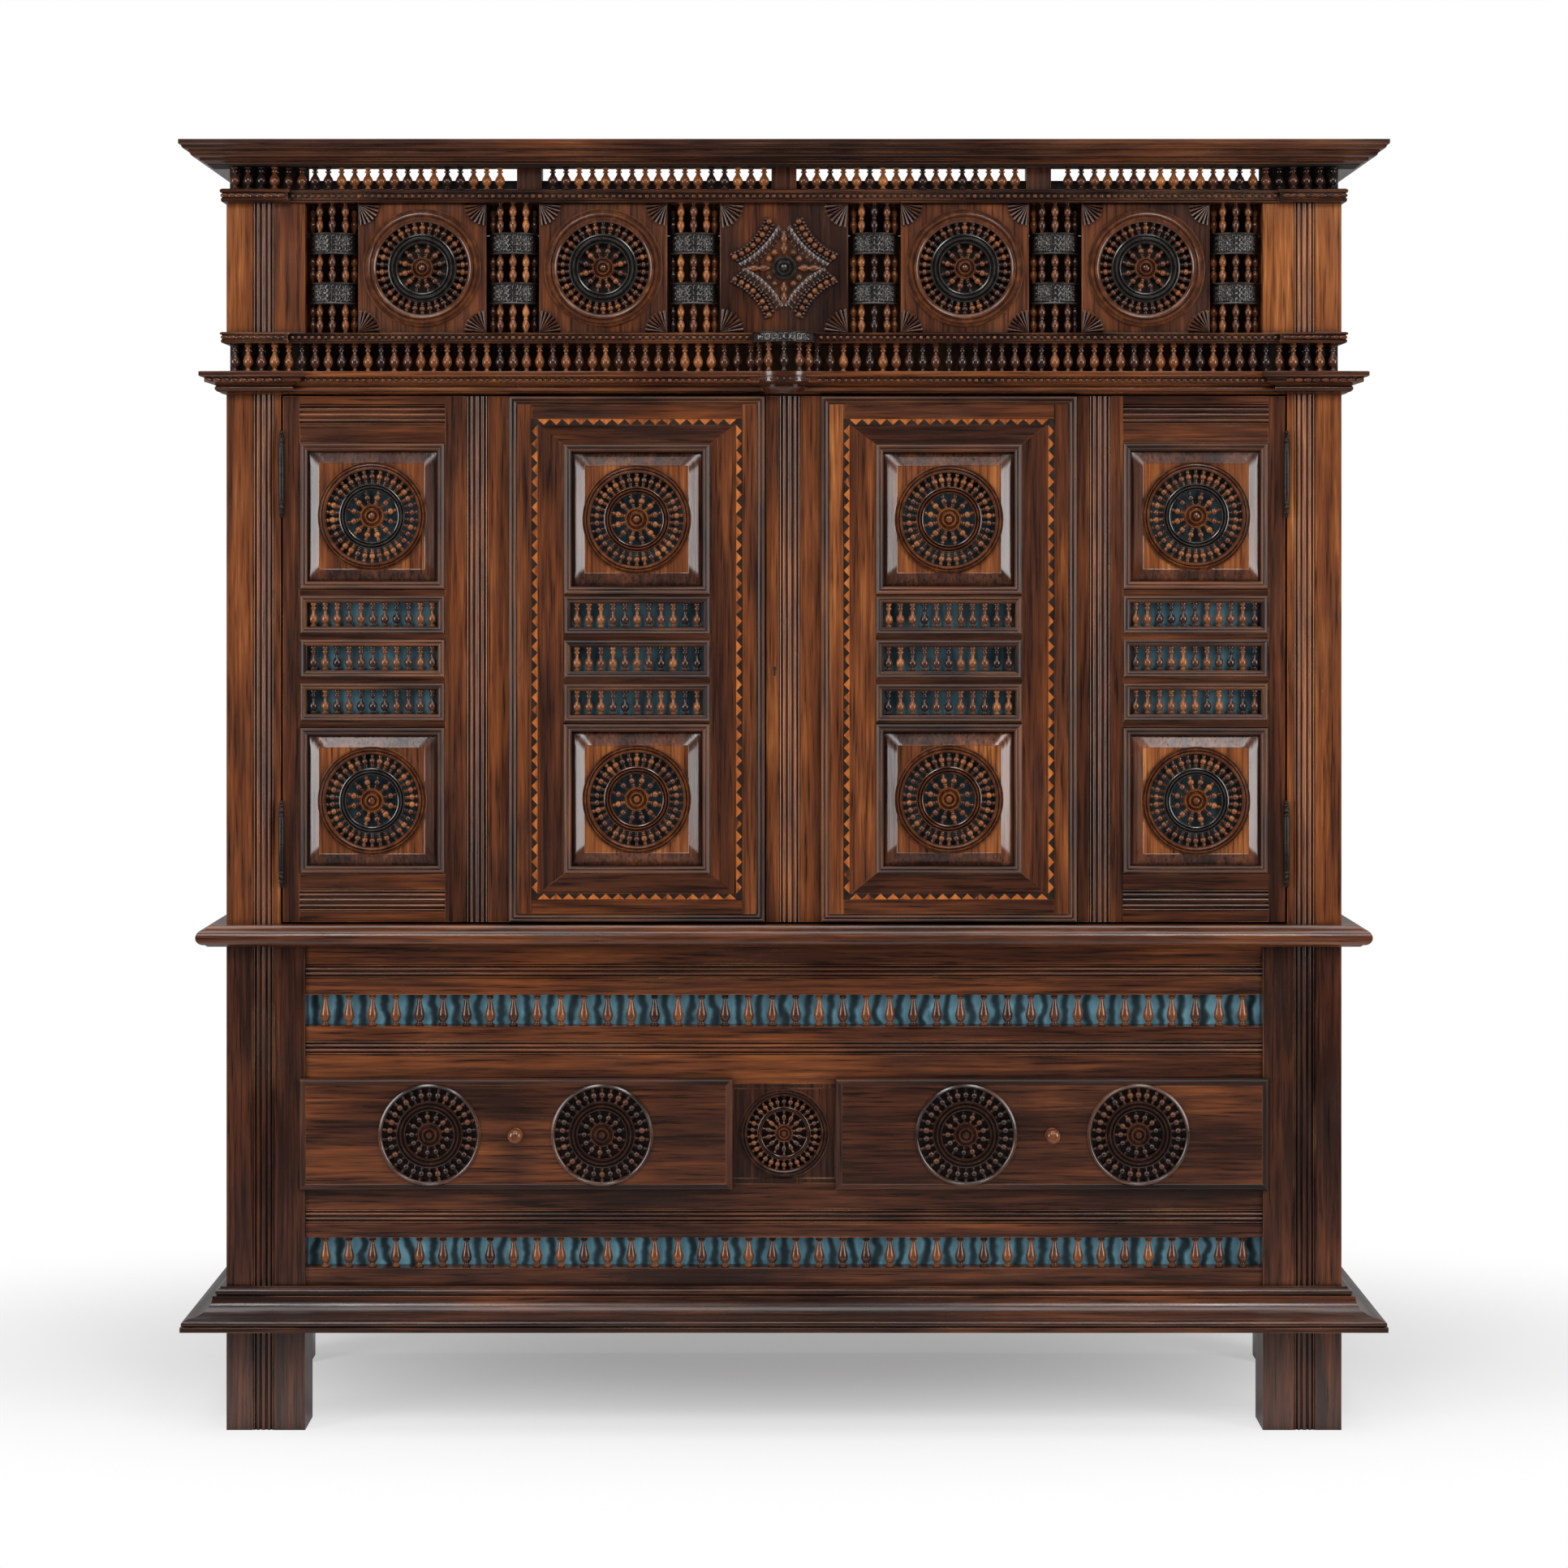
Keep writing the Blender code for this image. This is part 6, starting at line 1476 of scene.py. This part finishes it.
# Name, place, target, size and power
LAMPS = [
    lamp for word, side in SIDES.items() for lamp in (
        (f"key_{word}", (side * 1.3, -3.9, 3.9), (0.0, FRONT, 1.0), (0.9, 1.2), 36),
        (f"strip_{word}", (side * 3.1, -2.2, 1.55), (0.0, FRONT, 1.1), (1.3, 2.2), 57),
    )
] + [("top", (0.0, -0.7, 4.6), (0.0, 0.0, 0.6), (4.0, 2.8), 94)]
CAMERA_PLACE = (0.0, FRONT - 5.4, 1.374)
CAMERA_LENS = 77.4
CAMERA_SHIFT = -0.135


def floor_material():
    """The pale floor: it takes shadows, and the camera sees it a little lifted."""
    graph = new_graph("studio_floor")
    coords = graph.node("TexCoord")["Object"]
    depth = graph.node("SeparateXYZ", {0: coords})["Y"]
    shiny, seen = graph.seen(graph.spread(depth, -0.6, 0.3))
    shade = graph.ramp(graph.noise((0.7, 0.7, 0.7), 2.0), FLOOR_STOPS)
    ahead = graph.spread(depth, -0.45, -0.95, 0.0, 0.85)
    shade = graph.mix(graph.math("MULTIPLY", shiny, ahead), shade, DARK_FLOOR)
    graph.feed(graph.shader, {"Base Color": shade, "Roughness": 0.9, "Specular IOR Level": 0.1})
    glow = graph.node("Emission", {"Color": WHITE, "Strength": 1.0})[0]
    oval = {"Vector": coords, "Location": (0.0, -0.35, 0.0), "Scale": (0.5, 1.0, 1.0)}
    away = graph.node("VectorMath", {0: graph.node("Mapping", oval)[0]}, operation="LENGTH")["Value"]
    share = graph.math("MULTIPLY", seen, graph.spread(away, 0.12, 1.12, 0.32, 1.0, True))
    mixed = graph.node("MixShader", {0: share, 1: graph.shader.outputs[0], 2: glow})[0]
    graph.feed(graph.tree.nodes["Material Output"], {"Surface": mixed})
    return graph.owner


def studio():
    """Floor, white surround, soft lights and camera."""
    mesh = bpy.data.meshes.new("floor")
    edge = [(a, b, 0.0) for a, b in arc((0.0, 0.0), FLOOR_RADIUS, 0, 360, 96)[:-1]]
    mesh.from_pydata(edge, [], [tuple(range(len(edge)))])
    mesh.materials.append(floor_material())
    floor = link("floor", mesh)

    graph = Graph(bpy.data.worlds.new("studio"))
    bpy.context.scene.world = graph.owner
    depth = graph.node("SeparateXYZ", {0: graph.node("TexCoord")["Generated"]})["Y"]
    seen = graph.seen(graph.spread(depth, 0.0, 0.3))[1]
    strength = graph.sum(AMBIENT, graph.math("MULTIPLY", seen, 1.0 - AMBIENT))
    graph.feed(graph.shader, {"Color": WHITE, "Strength": strength})

    for name, place, target, size, power in LAMPS:
        data = bpy.data.lights.new(name, "AREA")
        data.shape = "RECTANGLE"
        data.size, data.size_y = size
        data.energy = power
        lamp = link(name, data)
        lamp.location = place
        lamp.rotation_euler = (Vector(target) - Vector(place)).to_track_quat("-Z", "Y").to_euler()

    data = bpy.data.cameras.new("camera")
    data.lens = CAMERA_LENS
    data.sensor_width = 36.0
    data.shift_y = CAMERA_SHIFT
    camera = link("camera", data)
    camera.location = CAMERA_PLACE
    camera.rotation_euler = (math.radians(90), 0.0, 0.0)
    bpy.context.scene.camera = camera
    bpy.context.scene.view_settings.view_transform = "Standard"


studio()
chest()
drawers()
cabinet_posts()
lower_cornice()
frieze_lower()
frieze_panels()
frieze_upper()
crown()
for name, direction in SIDES.items():
    door(name, direction)
    hinges(name, direction)
curtains()
dress_frame()
